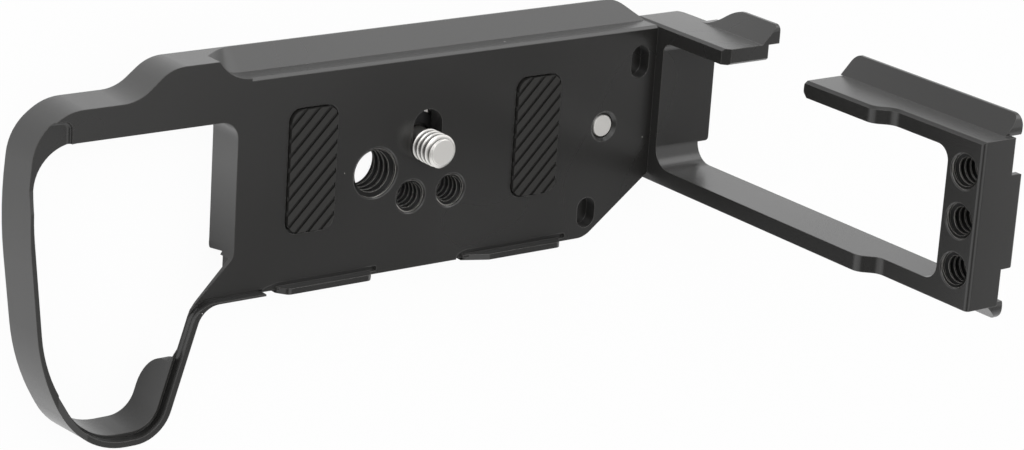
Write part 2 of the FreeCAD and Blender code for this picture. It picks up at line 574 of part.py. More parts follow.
def lip(ends, left_slope, right_slope):
    """Raised lip on the front edge with sloped, rounded ends."""
    x0, x1 = ends
    top_z = SEAT_Z + RIM_HEIGHT
    corners = [(x0, LIP_OUTER_Y, 0), (x1, LIP_OUTER_Y, 0),
               (x1 - right_slope * LIP_PLAN_SLOPE, LIP_INNER_Y, LIP_CORNER_RADIUS),
               (x0 + left_slope * LIP_PLAN_SLOPE, LIP_INNER_Y, LIP_CORNER_RADIUS)]
    block = plan_prism(corners, FLANGE_UNDERSIDE_Z, top_z)
    shoulder_z = SEAT_Z - GROOVE_DEPTH
    silhouette = [(x0, FLANGE_UNDERSIDE_Z, 0), (x1, FLANGE_UNDERSIDE_Z, 0), (x1, shoulder_z, 0),
                  (x1 - right_slope, top_z, LIP_CREST_RADIUS), (x0 + left_slope, top_z, LIP_CREST_RADIUS),
                  (x0, shoulder_z, 0)]
    return block.common(profile_prism(silhouette, LIP_OUTER_Y - OVERCUT, LIP_INNER_Y + OVERCUT))


def lip_groove(ends, lead):
    """Relief groove behind a lip; its inner edge swings in over the lead ahead of the lip."""
    x0, x1 = ends
    out_y = PLATE_FRONT_Y - OVERCUT
    in_y = LIP_INNER_Y + LIP_GROOVE_WIDTH
    near_y = PLATE_FRONT_Y + RIM_THICKNESS + GROOVE_WIDTH
    end_x = x1 + LIP_GROOVE_END
    end_radius, swing_radius, lead_radius = LIP_GROOVE_RADII
    corners = [(x0 - lead, out_y, 0), (x0, out_y, 0), (x0, LIP_INNER_Y, 0), (end_x, LIP_INNER_Y, 0),
               (end_x, in_y, end_radius), (x0, in_y, swing_radius), (x0 - lead, near_y, lead_radius)]
    return plan_prism(corners, SEAT_Z - GROOVE_DEPTH, SEAT_Z + OVERCUT)


def prong_centres():
    return (-PRONG_CENTRE_Y, PRONG_CENTRE_Y)


def prong_channel(centre_y):
    """Channel in the underside for one prong, with the blind hole of its clamp screw."""
    half = PRONG_WIDTH / 2 + PRONG_SLIDE_CLEARANCE
    inner_x = PRONG_TIP_X - CHANNEL_END_CLEARANCE
    channel = box((inner_x, PLATE_END_X + OVERCUT), (centre_y - half, centre_y + half),
                  (-OVERCUT, PRONG_ROOF_Z))
    hole = upright_cylinder(CLAMP_SCREW_RADIUS, CLAMP_SCREW_X, centre_y, PRONG_ROOF_Z - OVERCUT,
                            PRONG_ROOF_Z + CLAMP_SCREW_HOLE_DEPTH)
    return channel.fuse(hole)


def screw_recess():
    """Slot for the camera screw, the recess of its head and the groove of its clip."""
    y0 = SCREW_REST_Y
    y1 = SCREW_REST_Y + SCREW_TRAVEL
    slot = upright_slot(SLOT_HALF, 0, y0, y1, -OVERCUT, SEAT_Z + OVERCUT)
    recess = upright_slot(RECESS_HALF, 0, y0, y1, -OVERCUT, RECESS_ROOF_Z)
    groove = upright_slot(RECESS_HALF + CLIP_GROOVE_DEPTH, 0, y0, y1, CLIP_FOOT_Z - RUNNING_CLEARANCE,
                          CLIP_FOOT_Z + CLIP_THICKNESS + RUNNING_CLEARANCE)
    return slot.fuse([recess, groove])


def pin_bore():
    """Stepped bore of the locating pin, with a bevelled mouth."""
    guide_radius = PIN_TIP_RADIUS + RUNNING_CLEARANCE
    depth = PIN_MOUTH_CHAMFER + OVERCUT
    mouth = Part.makeCone(guide_radius, guide_radius + depth, depth,
                          V(PIN_X, PIN_Y, SEAT_Z - PIN_MOUTH_CHAMFER), UP)
    guide = upright_cylinder(guide_radius, PIN_X, PIN_Y, PIN_LEDGE_Z - OVERCUT, SEAT_Z)
    thread = upright_cylinder(PIN_THREAD_RADIUS + RUNNING_CLEARANCE, PIN_X, PIN_Y, -OVERCUT, PIN_LEDGE_Z)
    return guide.fuse([mouth, thread])


def pad_corners(side, clearance):
    """Plan outline of a pad, or of its recess with a clearance."""
    dx = PAD_WIDTH / 2 - clearance
    dy = PAD_LENGTH / 2 - clearance
    x = side * PAD_CENTRE_X
    signs = ((-1, -1), (1, -1), (1, 1), (-1, 1))
    return [(x + sx * dx, PAD_CENTRE_Y + sy * dy, PAD_CORNER_RADIUS) for sx, sy in signs]


def pad_recess(side):
    """Recess in the seat for one pad."""
    return plan_prism(pad_corners(side, 0), SEAT_Z - PAD_DEPTH, SEAT_Z + OVERCUT)


def seat_edge_chamfer():
    """Bevel along the seat's back edge."""
    y = NECK_HALF
    corners = [(y - SEAT_EDGE_CHAMFER, SEAT_Z, 0), (y + OVERCUT, SEAT_Z - SEAT_EDGE_CHAMFER - OVERCUT, 0),
               (y + OVERCUT, SEAT_Z + OVERCUT, 0), (y - SEAT_EDGE_CHAMFER, SEAT_Z + OVERCUT, 0)]
    return section_prism(corners, BACK_RUNOUT_X, PLATE_END_X + OVERCUT)


def make_base_plate():
    """Base plate with its clamp rail and grip loop, cut from one block."""
    body = base_stock()
    cutters = [
        plan_prism(window_corners(), -OVERCUT, SEAT_Z + RIM_HEIGHT + OVERCUT),
        rail_neck_cutter(BACK_RUNOUT_X, 1, SEAT_Z + OVERCUT),
        rail_neck_cutter(FRONT_RUNOUT_X, -1, FLANGE_UNDERSIDE_Z),
        flange_cutter(),
        thin_bar_cutter(),
        corner_pocket(),
        seat_edge_chamfer(),
    ]
    for cutter in cutters:
        body = body.cut(cutter)
    lips = [lip(LEFT_LIP, LIP_END_SLOPE, LIP_END_SLOPE), lip(RIGHT_LIP, RIGHT_LIP_RAMP, LIP_END_SLOPE)]
    body = body.fuse([rim()] + lips).removeSplitter()
    details = [rim_groove(), lip_groove(LEFT_LIP, LEFT_LIP[0] - RIM_END_X), lip_groove(RIGHT_LIP, GROOVE_LEAD),
               screw_recess(), pin_bore(), pad_recess(-1), pad_recess(1)]
    details += [prong_channel(y) for y in prong_centres()]
    details.append(threaded_bore(LARGE_THREAD_RADIUS, V(*LARGE_THREAD_PLACE, 0), UP, SEAT_Z))
    details += [threaded_bore(SMALL_THREAD_RADIUS, V(x, y, 0), UP, SEAT_Z) for x, y in SMALL_THREAD_PLACES]
    details += [upright_slot(SEAT_POCKET_WIDTH / 2, PLATE_END_X - setback, y0, y1, SEAT_Z - SEAT_POCKET_DEPTH,
                             SEAT_Z + OVERCUT) for setback, y0, y1 in SEAT_POCKETS]
    for detail in details:
        body = body.cut(detail)
    return body


def side_lip(side):
    """Dovetail lip along one edge of the side plate's outer face."""
    neck = side * SIDE_NECK_HALF
    edge = side * RAIL_HALF
    root = side * (SIDE_NECK_HALF - SIDE_LIP_ROOT)
    corners = [(SIDE_FLANK_X, neck, 0), (SIDE_OUTER_X - SIDE_LIP_EDGE, edge, 0), (SIDE_OUTER_X, edge, 0),
               (SIDE_OUTER_X, root, 0), (SIDE_FLANK_X, root, 0)]
    block = plan_prism(corners, 0, SIDE_LIP_TOP_Z)
    full_z = LOWER_LIP_FOOT + RAIL_HALF - SIDE_NECK_HALF
    foot_radius, crest_radius = LIP_SWELL_RADII
    swell_z = LOWER_LIP_FOOT - foot_radius * SWELL_LEAD
    silhouette = [(root - side * OVERCUT, swell_z, 0), (neck, swell_z, 0), (neck, LOWER_LIP_FOOT, foot_radius),
                  (edge, full_z, crest_radius), (edge, SIDE_LIP_TOP_Z, SIDE_LIP_TOP_RADIUS),
                  (root, SIDE_LIP_TOP_Z, SIDE_LIP_TOP_RADIUS),
                  (root - side * OVERCUT, SIDE_LIP_TOP_Z - OVERCUT, 0)]
    return block.common(section_prism(silhouette, SIDE_FLANK_X - OVERCUT, SIDE_OUTER_X + OVERCUT))


def arm_gap():
    """Opening in the back arm, with a bevelled lower end, a rounded upper end and rounded lip ends."""
    z0 = ARM_GAP_FOOT
    z1 = ARM_GAP_FOOT + ARM_GAP_HEIGHT
    c = ARM_END_CHAMFER
    t = min(ARM_TIP_ROUNDING, 0.4 * SIDE_ARM_WIDTH)
    r = LIP_START_RADIUS
    lip_z = z1 - UPPER_LIP_LEAD
    window_y = SIDE_WINDOW_HALF
    inner_y = window_y - OVERCUT
    outer_y = RAIL_HALF + OVERCUT
    inner_x = PLATE_END_X - OVERCUT
    e = ARM_END_EDGE
    corners = [(inner_y, z0 - e - OVERCUT, 0), (window_y + e, z0, 0), (RAIL_HALF, z0, r), (RAIL_HALF, z0 - r, 0),
               (outer_y, z0 - r, 0), (outer_y, lip_z + r, 0), (RAIL_HALF, lip_z + r, 0), (RAIL_HALF, lip_z, r),
               (SIDE_NECK_HALF, lip_z, 0), (SIDE_NECK_HALF, z1 + ARM_TIP_SLOPE, 0), (SIDE_NECK_HALF - t, z1, t),
               (window_y + t, z1, t), (window_y, z1 + t, 0), (inner_y, z1 + t, 0)]
    gap = section_prism(corners, inner_x, SIDE_OUTER_X + OVERCUT)
    bevel = [(inner_x, z0 - c - OVERCUT, 0), (PLATE_END_X + c, z0, 0), (PLATE_END_X + c, z0 + OVERCUT, 0),
             (inner_x, z0 + OVERCUT, 0)]
    return gap.fuse(profile_prism(bevel, inner_y, outer_y))


def side_window():
    """Opening inside the side plate's frame."""
    half = SIDE_WINDOW_HALF
    top_z = SIDE_WINDOW_TOP_Z
    front_radius, back_radius, top_radius = SIDE_WINDOW_RADII
    corners = [(-half, SIDE_FLOOR, front_radius), (half, SIDE_FLOOR, back_radius), (half, top_z, top_radius),
               (-half, top_z, top_radius)]
    return section_prism(corners, PLATE_END_X - OVERCUT, SIDE_OUTER_X + OVERCUT)


def side_relief(side):
    """Relief on the outer face, from the middle land out to the edge; the lip stands in it."""
    land_y = side * SIDE_LAND_WIDTH / 2
    crest_y = side * (SIDE_LAND_WIDTH / 2 - SIDE_LAND_RADIUS)
    beside_y = side * (SIDE_NECK_HALF + OVERCUT)
    over_x = SIDE_OUTER_X + OVERCUT
    corners = [(SIDE_RELIEF_X, land_y, 0), (SIDE_OUTER_X, land_y, SIDE_LAND_RADIUS), (SIDE_OUTER_X, crest_y, 0),
               (over_x, crest_y, 0), (over_x, beside_y, 0), (SIDE_RELIEF_X, beside_y, 0)]
    return plan_prism(corners, -OVERCUT, SIDE_HEIGHT + OVERCUT)


def side_foot_rounding(side):
    """Rounds the foot's long edge and its outer edge beside the land."""
    edge, over_y = side * SIDE_NECK_HALF, side * (SIDE_NECK_HALF + OVERCUT)
    r = SIDE_FOOT_EDGE_RADIUS
    corners = [(over_y, -OVERCUT, 0), (over_y, 2 * r, 0), (edge, 2 * r, 0), (edge, 0, r), (edge - side * 2 * r, 0, 0),
               (edge - side * 2 * r, -OVERCUT, 0)]
    along = section_prism(corners, PLATE_END_X - OVERCUT, SIDE_OUTER_X + OVERCUT)
    x, r = SIDE_RELIEF_X, SIDE_RELIEF_FOOT_RADIUS
    corners = [(x - 2 * r, -OVERCUT, 0), (x - 2 * r, 0, 0), (x, 0, r), (x, 2 * r, 0), (x + OVERCUT, 2 * r, 0),
               (x + OVERCUT, -OVERCUT, 0)]
    land_y = side * SIDE_LAND_WIDTH / 2
    return [along, profile_prism(corners, min(land_y, over_y), max(land_y, over_y))]


def prong(centre_y):
    """Flat prong that slides under the base plate, with the slot of its clamp screw."""
    half = PRONG_WIDTH / 2
    root_x = PLATE_END_X + OVERCUT
    corners = [(PRONG_TIP_X, centre_y - half, PRONG_END_RADIUS), (root_x, centre_y - half, 0),
               (root_x, centre_y + half, 0), (PRONG_TIP_X, centre_y + half, PRONG_END_RADIUS)]
    blade = plan_prism(corners, PRONG_FOOT_Z, PRONG_TOP_Z)
    h = PRONG_SLOT_HALF
    slot = [(PRONG_SLOT_INNER_X - h, centre_y - h, h), (CLAMP_SCREW_X + h, centre_y - h, h),
            (CLAMP_SCREW_X + h, centre_y + h, h), (PRONG_SLOT_INNER_X - h, centre_y + h, h)]
    return blade.cut(plan_prism(slot, PRONG_FOOT_Z - OVERCUT, PRONG_ROOF_Z + OVERCUT))


def top_inner_rounding():
    """Rounds the inner edge of the side plate's top."""
    x, z, r = SIDE_UPPER_X, SIDE_HEIGHT, SIDE_INNER_EDGE_RADIUS
    corners = [(x - OVERCUT, z + OVERCUT, 0), (x + 2 * r, z + OVERCUT, 0), (x + 2 * r, z, 0), (x, z, r),
               (x, z - 2 * r, 0), (x - OVERCUT, z - 2 * r, 0)]
    return profile_prism(corners, -RAIL_HALF, RAIL_HALF)


def make_side_plate():
    """Side plate: an open frame with a dovetail rail, standing on a foot with two prongs."""
    high = SIDE_HEIGHT - SIDE_STEP_DROP
    low = high - SIDE_STEP_LENGTH
    profile = [(PLATE_END_X, 0, 0), (SIDE_OUTER_X, 0, SIDE_FOOT_RADIUS),
               (SIDE_OUTER_X, SIDE_HEIGHT, SIDE_EDGE_RADIUS), (SIDE_UPPER_X, SIDE_HEIGHT, 0),
               (SIDE_UPPER_X, high, SIDE_STEP_RADIUS), (PLATE_END_X, low, SIDE_STEP_RADIUS)]
    body = profile_prism(profile, -SIDE_NECK_HALF, SIDE_NECK_HALF)
    inner_edges = [edge for edge in body.Edges if edge.BoundBox.YMin > SIDE_NECK_HALF - 1e-6
                   and edge.BoundBox.XMax < SIDE_UPPER_X + 1e-6]
    body = body.makeChamfer(SIDE_ARM_BEVEL, inner_edges)
    body = body.cut(top_inner_rounding())
    body = body.cut(side_relief(-1)).cut(side_relief(1))
    for cutter in side_foot_rounding(-1) + side_foot_rounding(1):
        body = body.cut(cutter)
    body = body.fuse([side_lip(-1), side_lip(1)])
    body = body.cut(side_window()).cut(arm_gap())
    for step in (-1, 0, 1):
        foot = V(SIDE_UPPER_X, step * SIDE_THREAD_PITCH, SIDE_HEIGHT - SIDE_THREAD_DROP)
        body = body.cut(threaded_bore(SMALL_THREAD_RADIUS, foot, ALONG_X, SIDE_UPPER_THICKNESS))
    return body.fuse([prong(y) for y in prong_centres()]).removeSplitter()


def make_grip_pad(side):
    """Rubber pad with slanting ribs, set in its recess in the seat."""
    foot_z = SEAT_Z - PAD_DEPTH
    top_z = SEAT_Z + PAD_PROUD
    pad = plan_prism(pad_corners(side, PAD_CLEARANCE), foot_z, top_z)
    centre = V(side * PAD_CENTRE_X, PAD_CENTRE_Y, 0)
    reach = PAD_LENGTH
    count = int(reach / PAD_RIB_PITCH)
    groove_z = top_z - PAD_RIB_GROOVE_DEPTH
    grooves = []
    for index in range(-count // 2, count // 2 + 1):
        groove = Part.makeBox(2 * reach, PAD_RIB_GROOVE_WIDTH, PAD_RIB_GROOVE_DEPTH + OVERCUT,
                              V(-reach, index * PAD_RIB_PITCH - PAD_RIB_GROOVE_WIDTH / 2, 0))
        groove.rotate(ORIGIN, UP, 45)
        groove.translate(centre + UP * groove_z)
        grooves.append(groove)
    return pad.cut(Part.makeCompound([groove for groove in grooves if groove.common(pad).Volume > 0.01]))


def make_camera_screw():
    """Captive 1/4 inch camera screw: head with hexagon socket and coin slot, plain neck, thread and tip."""
    y = SCREW_REST_Y
    tip_z = SEAT_Z + SCREW_STANDOUT
    head = upright_cylinder(SCREW_HEAD_RADIUS, 0, y, SCREW_HEAD_FOOT_Z, SCREW_HEAD_TOP_Z)
    thread_z = SEAT_Z + SCREW_THREAD_START
    neck = upright_cylinder(SCREW_NECK_RADIUS, 0, y, SCREW_HEAD_TOP_Z, thread_z)
    shank = upright_cylinder(SMALL_THREAD_RADIUS, 0, y, thread_z, tip_z - SCREW_TIP_CHAMFER)
    tip = Part.makeCone(SMALL_THREAD_RADIUS, SMALL_THREAD_RADIUS - SCREW_TIP_CHAMFER, SCREW_TIP_CHAMFER,
                        V(0, y, tip_z - SCREW_TIP_CHAMFER), UP)
    foot_z = SCREW_HEAD_FOOT_Z
    socket = hexagon_prism(SCREW_KEY_WIDTH, 0, y, foot_z - OVERCUT, foot_z + SCREW_KEY_DEPTH)
    slot = box((-SCREW_HEAD_RADIUS - OVERCUT, SCREW_HEAD_RADIUS + OVERCUT),
               (y - SCREW_COIN_SLOT_WIDTH / 2, y + SCREW_COIN_SLOT_WIDTH / 2),
               (foot_z - OVERCUT, foot_z + SCREW_COIN_SLOT_DEPTH))
    return head.fuse([neck, shank, tip]).cut(socket).cut(slot)


def make_screw_washer():
    """Steel washer that slides along the recess with the camera screw."""
    foot_z = WASHER_TOP_Z - WASHER_THICKNESS
    ring = upright_cylinder(SCREW_HEAD_RADIUS, 0, SCREW_REST_Y, foot_z, WASHER_TOP_Z)
    return ring.cut(upright_cylinder(SMALL_THREAD_RADIUS + RUNNING_CLEARANCE, 0, SCREW_REST_Y,
                                     foot_z - OVERCUT, WASHER_TOP_Z + OVERCUT))


def make_screw_clip():
    """Stamped spring clip, sprung into the groove below the camera screw's head."""
    outer = RECESS_HALF + CLIP_GROOVE_DEPTH - RUNNING_CLEARANCE
    inner = SCREW_HEAD_RADIUS - CLIP_OVERLAP
    y0 = SCREW_REST_Y
    y1 = SCREW_REST_Y + SCREW_TRAVEL
    top_z = CLIP_FOOT_Z + CLIP_THICKNESS
    ring = upright_slot(outer, 0, y0, y1, CLIP_FOOT_Z, top_z)
    ring = ring.cut(upright_slot(inner, 0, y0, y1, CLIP_FOOT_Z - OVERCUT, top_z + OVERCUT))
    gap = box((-CLIP_GAP / 2, CLIP_GAP / 2), (y1, y1 + outer + OVERCUT),
              (CLIP_FOOT_Z - OVERCUT, top_z + OVERCUT))
    return ring.cut(gap)


def make_locating_pin():
    """Steel locating pin: a plain tip on a threaded foot with a key socket."""
    x, y = PIN_X, PIN_Y
    crown = PIN_TIP_CROWN
    tip = upright_cylinder(PIN_TIP_RADIUS, x, y, PIN_THREAD_TOP_Z, PIN_TIP_Z - crown)
    nose = Part.makeCone(PIN_TIP_RADIUS, PIN_TIP_RADIUS - crown, crown, V(x, y, PIN_TIP_Z - crown), UP)
    thread = upright_cylinder(PIN_THREAD_RADIUS, x, y, PIN_FOOT_Z, PIN_THREAD_TOP_Z)
    socket = hexagon_prism(PIN_KEY_WIDTH, x, y, PIN_FOOT_Z - OVERCUT, PIN_FOOT_Z + PIN_KEY_DEPTH)
    return thread.fuse([tip, nose]).cut(socket)


def clamp_screw(centre_y):
    """Low-head screw with a hexagon socket."""
    x = CLAMP_SCREW_X
    foot_z = CLAMP_HEAD_TOP_Z - CLAMP_HEAD_HEIGHT
    head = upright_cylinder(CLAMP_HEAD_RADIUS, x, centre_y, foot_z, CLAMP_HEAD_TOP_Z)
    shank = upright_cylinder(CLAMP_SCREW_RADIUS, x, centre_y, CLAMP_HEAD_TOP_Z,
                             PRONG_ROOF_Z + CLAMP_SCREW_HOLE_DEPTH - CLAMP_SCREW_END_CLEARANCE)
    socket = hexagon_prism(CLAMP_KEY_WIDTH, x, centre_y, foot_z - OVERCUT, foot_z + CLAMP_KEY_DEPTH)
    return head.fuse(shank).cut(socket)


def clamp_washer(centre_y):
    foot_z = CLAMP_WASHER_TOP_Z - CLAMP_WASHER_THICKNESS
    ring = upright_cylinder(CLAMP_HEAD_RADIUS, CLAMP_SCREW_X, centre_y, foot_z, CLAMP_WASHER_TOP_Z)
    return ring.cut(upright_cylinder(CLAMP_SCREW_RADIUS + CLAMP_SCREW_CLEARANCE, CLAMP_SCREW_X, centre_y,
                                     foot_z - OVERCUT, CLAMP_WASHER_TOP_Z + OVERCUT))


def main():
    os.makedirs("parts", exist_ok=True)
    nodes = {
        "base_plate": make_base_plate(),
        "side_plate": make_side_plate(),
        "left_grip_pad": make_grip_pad(-1),
        "right_grip_pad": make_grip_pad(1),
        "camera_screw": make_camera_screw(),
        "screw_washer": make_screw_washer(),
        "screw_clip": make_screw_clip(),
        "locating_pin": make_locating_pin(),
        "clamp_screws": Part.makeCompound([clamp_screw(y) for y in prong_centres()]),
        "clamp_washers": Part.makeCompound([clamp_washer(y) for y in prong_centres()]),
    }
    for name, shape in nodes.items():
        shape.exportStep(f"parts/{name}.step")
        print(f"{name}: {len(shape.Solids)} solid(s), valid {shape.isValid()}, volume {shape.Volume:.1f} mm3")


main()
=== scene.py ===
"""Looks, light and view of a camera bracket with a sliding side plate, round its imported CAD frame."""

import json
import logging
import math
from dataclasses import dataclass, field
from enum import Enum

import bmesh
import bpy
from mathutils import Matrix, Vector


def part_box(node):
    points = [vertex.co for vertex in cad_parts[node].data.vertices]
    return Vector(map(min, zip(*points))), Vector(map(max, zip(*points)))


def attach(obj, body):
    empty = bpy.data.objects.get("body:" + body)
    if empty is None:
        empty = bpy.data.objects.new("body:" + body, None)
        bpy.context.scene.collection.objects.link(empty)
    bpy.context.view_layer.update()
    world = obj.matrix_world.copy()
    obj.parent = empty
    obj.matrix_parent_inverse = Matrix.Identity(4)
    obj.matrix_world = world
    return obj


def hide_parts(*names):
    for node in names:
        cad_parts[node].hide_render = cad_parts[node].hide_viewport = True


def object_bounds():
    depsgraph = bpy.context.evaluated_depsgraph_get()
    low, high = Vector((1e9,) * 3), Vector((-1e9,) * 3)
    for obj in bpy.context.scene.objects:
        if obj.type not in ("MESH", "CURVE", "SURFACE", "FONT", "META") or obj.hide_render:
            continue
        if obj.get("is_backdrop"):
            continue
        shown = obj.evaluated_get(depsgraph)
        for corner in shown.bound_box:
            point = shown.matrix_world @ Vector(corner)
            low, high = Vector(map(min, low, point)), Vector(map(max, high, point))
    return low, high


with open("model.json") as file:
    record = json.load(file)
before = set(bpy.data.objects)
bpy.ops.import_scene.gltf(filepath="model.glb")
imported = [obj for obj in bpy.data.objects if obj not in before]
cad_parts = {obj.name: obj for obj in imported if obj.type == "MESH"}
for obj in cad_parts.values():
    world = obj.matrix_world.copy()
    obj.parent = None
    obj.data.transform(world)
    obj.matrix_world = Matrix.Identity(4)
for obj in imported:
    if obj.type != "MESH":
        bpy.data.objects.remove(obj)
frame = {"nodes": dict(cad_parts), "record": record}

LOG = logging.getLogger("bracket")
MM = 0.001

# In metres: points nearer than this are one point, and those nearer than this to a cut lie on it.
SAME_POINT = 1e-7
ON_PLANE = 1e-8

# Rays that the rounded edges and the painted groove shade send out for each sample.
EDGE_SAMPLES = 4
GROOVE_SHADE_SAMPLES = 8

# Places of the Mix node's share and its two colours, because other inputs of it have the same names.
COLOUR_MIX_INPUTS = (0, 6, 7)
COLOUR_MIX_OUTPUT = 2

Colour = tuple[float, float, float, float]
Point = tuple[float, float, float]

WHITE: Colour = (1.0, 1.0, 1.0, 1.0)


class Axis(Enum):
    """Direction that a thread's middle line runs in."""

    UP = "up"
    ACROSS = "across"


class Wall(Enum):
    """Which way a thread's ridge stands out of its wall."""

    INWARD = -1
    OUTWARD = 1


class Slot(Enum):
    """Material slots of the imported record."""

    ANODISED = "anodised_aluminium"
    RUBBER = "pad_rubber"
    STAINLESS = "stainless_steel"
    SPRING = "spring_steel"
    BLACK_STEEL = "black_steel"


def linear(red: int, green: int, blue: int) -> Colour:
    """Turns a screen colour into the linear values that Blender works with, along the standard screen curve.

    Args:
        red: Red from 0 to 255.
        green: Green from 0 to 255.
        blue: Blue from 0 to 255.

    Returns:
        Linear red, green, blue and an alpha of 1.
    """
    values = []
    for value in (red, green, blue):
        share = value / 255
        values.append(share / 12.92 if share <= 0.04045 else ((share + 0.055) / 1.055) ** 2.4)
    return values[0], values[1], values[2], 1.0


def placed(name: str, data: bpy.types.ID) -> bpy.types.Object:
    """Makes an object and links it to the scene.

    Args:
        name: Name of the new object.
        data: Its mesh, light or camera.

    Returns:
        The object.
    """
    thing = bpy.data.objects.new(name, data)
    bpy.context.scene.collection.objects.link(thing)
    return thing


def settled(name: str, shape: bmesh.types.BMesh) -> bpy.types.Mesh:
    """Turns a shape in the making into a mesh.

    Args:
        name: Name of the new mesh.
        shape: The shape, which is freed.

    Returns:
        The mesh.
    """
    mesh = bpy.data.meshes.new(name)
    shape.to_mesh(mesh)
    shape.free()
    return mesh


@dataclass
class NodeSheet:
    """Small helper that places and joins nodes in one tree."""

    tree: bpy.types.NodeTree

    def add(self, kind: str, **settings: object) -> bpy.types.Node:
        """Adds a node.

        Args:
            kind: Blender's name of the node type.
            **settings: Attributes to set on the node.

        Returns:
            The new node.
        """
        node = self.tree.nodes.new(kind)
        for name, value in settings.items():
            setattr(node, name, value)
        return node

    def feed(self, source: object, target: bpy.types.NodeSocket) -> None:
        """Feeds an input socket.

        Args:
            source: An output socket, a plain value, or None to leave the input as it is.
            target: The input socket.
        """
        if isinstance(source, bpy.types.NodeSocket):
            self.tree.links.new(source, target)
        elif source is not None:
            target.default_value = source

    def math(self, operation: str, first: object, second: object = None,
             clamp: bool = False) -> bpy.types.NodeSocket:
        """Adds a Math node.

        Args:
            operation: Blender's name of the operation.
            first: First value, a number or a socket.
            second: Second value, a number or a socket, where there is one.
            clamp: Keeps the result between 0 and 1.

        Returns:
            The node's value socket.
        """
        node = self.add("ShaderNodeMath", operation=operation, use_clamp=clamp)
        for value, socket in zip((first, second), node.inputs):
            self.feed(value, socket)
        return node.outputs[0]

    def vector(self, operation: str, first: object, second: object = None) -> bpy.types.NodeSocket:
        """Adds a Vector Math node.

        Args:
            operation: Blender's name of the operation.
            first: First vector or socket.
            second: Second vector or socket, where there is one.

        Returns:
            The node's value socket where the result is a number, and else its vector socket.
        """
        node = self.add("ShaderNodeVectorMath", operation=operation)
        for value, socket in zip((first, second), node.inputs):
            self.feed(value, socket)
        return node.outputs["Value" if operation in ("DOT_PRODUCT", "LENGTH") else "Vector"]

    def ramp(self, value: bpy.types.NodeSocket, start: float, end: float, low: float,
             high: float) -> bpy.types.NodeSocket:
        """Adds a straight ramp that is level past both of its ends.

        Args:
            value: The socket that it follows.
            start: Value at which it starts.
            end: Value at which it ends.
            low: Result at the start.
            high: Result at the end.

        Returns:
            The result's socket.
        """
        node = self.add("ShaderNodeMapRange")
        self.feed(value, node.inputs["Value"])
        for label, number in (("From Min", start), ("From Max", end), ("To Min", low), ("To Max", high)):
            self.feed(number, node.inputs[label])
        return node.outputs["Result"]

    def mixed(self, share: object, first: object, second: object) -> bpy.types.NodeSocket:
        """Mixes two colours.

        Args:
            share: Socket or number that is 0 for the first colour and 1 for the second.
            first: First colour, or its socket.
            second: Second colour, or its socket.

        Returns:
            The mixed colour's socket.
        """
        node = self.add("ShaderNodeMix", data_type="RGBA")
        for value, index in zip((share, first, second), COLOUR_MIX_INPUTS):
            self.feed(value, node.inputs[index])
        return node.outputs[COLOUR_MIX_OUTPUT]

    def group(self, tree: bpy.types.NodeTree, values: dict[str, float]) -> bpy.types.NodeOutputs:
        """Places a shader node group with its own values.

        Args:
            tree: The group's tree.
            values: Value by the name of the input.

        Returns:
            The group's output sockets.
        """
        node = self.add("ShaderNodeGroup", node_tree=tree)
        for label, value in values.items():
            self.feed(value, node.inputs[label])
        return node.outputs

    def close(self, share: object, first: bpy.types.Node, second: bpy.types.Node, output: str) -> None:
        """Mixes two shaders and ends the tree with them.

        Args:
            share: Socket or number that is 0 for the first shader and 1 for the second.
            first: First shader's node.
            second: Second shader's node.
            output: Blender's name of the output node's type.
        """
        mix = self.add("ShaderNodeMixShader")
        for value, socket in zip((share, first.outputs[0], second.outputs[0]), mix.inputs):
            self.feed(value, socket)
        self.feed(mix.outputs[0], self.add(output).inputs["Surface"])


def bare_sheet(block: bpy.types.Material | bpy.types.World) -> NodeSheet:
    """Empties the nodes of a material or a world.

    Args:
        block: The material or world.

    Returns:
        A sheet on its tree.
    """
    block.use_nodes = True
    block.node_tree.nodes.clear()
    return NodeSheet(block.node_tree)


def open_group(name: str, kind: str, inputs: dict[str, tuple[str, object]],
               outputs: dict[str, str]) -> tuple[NodeSheet, bpy.types.NodeOutputs, bpy.types.NodeInputs]:
    """Makes an empty node group with named sockets.

    Args:
        name: Name of the group.
        kind: Blender's name of the tree type.
        inputs: Socket type and default value by socket name.
        outputs: Socket type by socket name.

    Returns:
        A sheet on the group's tree, the sockets that its inputs come in by, and those that its outputs leave by.
    """
    tree = bpy.data.node_groups.new(name, kind)
    for label, (socket_type, value) in inputs.items():
        socket = tree.interface.new_socket(label, in_out="INPUT", socket_type=socket_type)
        if value is not None:
            socket.default_value = value
    for label, socket_type in outputs.items():
        tree.interface.new_socket(label, in_out="OUTPUT", socket_type=socket_type)
    sheet = NodeSheet(tree)
    return sheet, sheet.add("NodeGroupInput").outputs, sheet.add("NodeGroupOutput").inputs


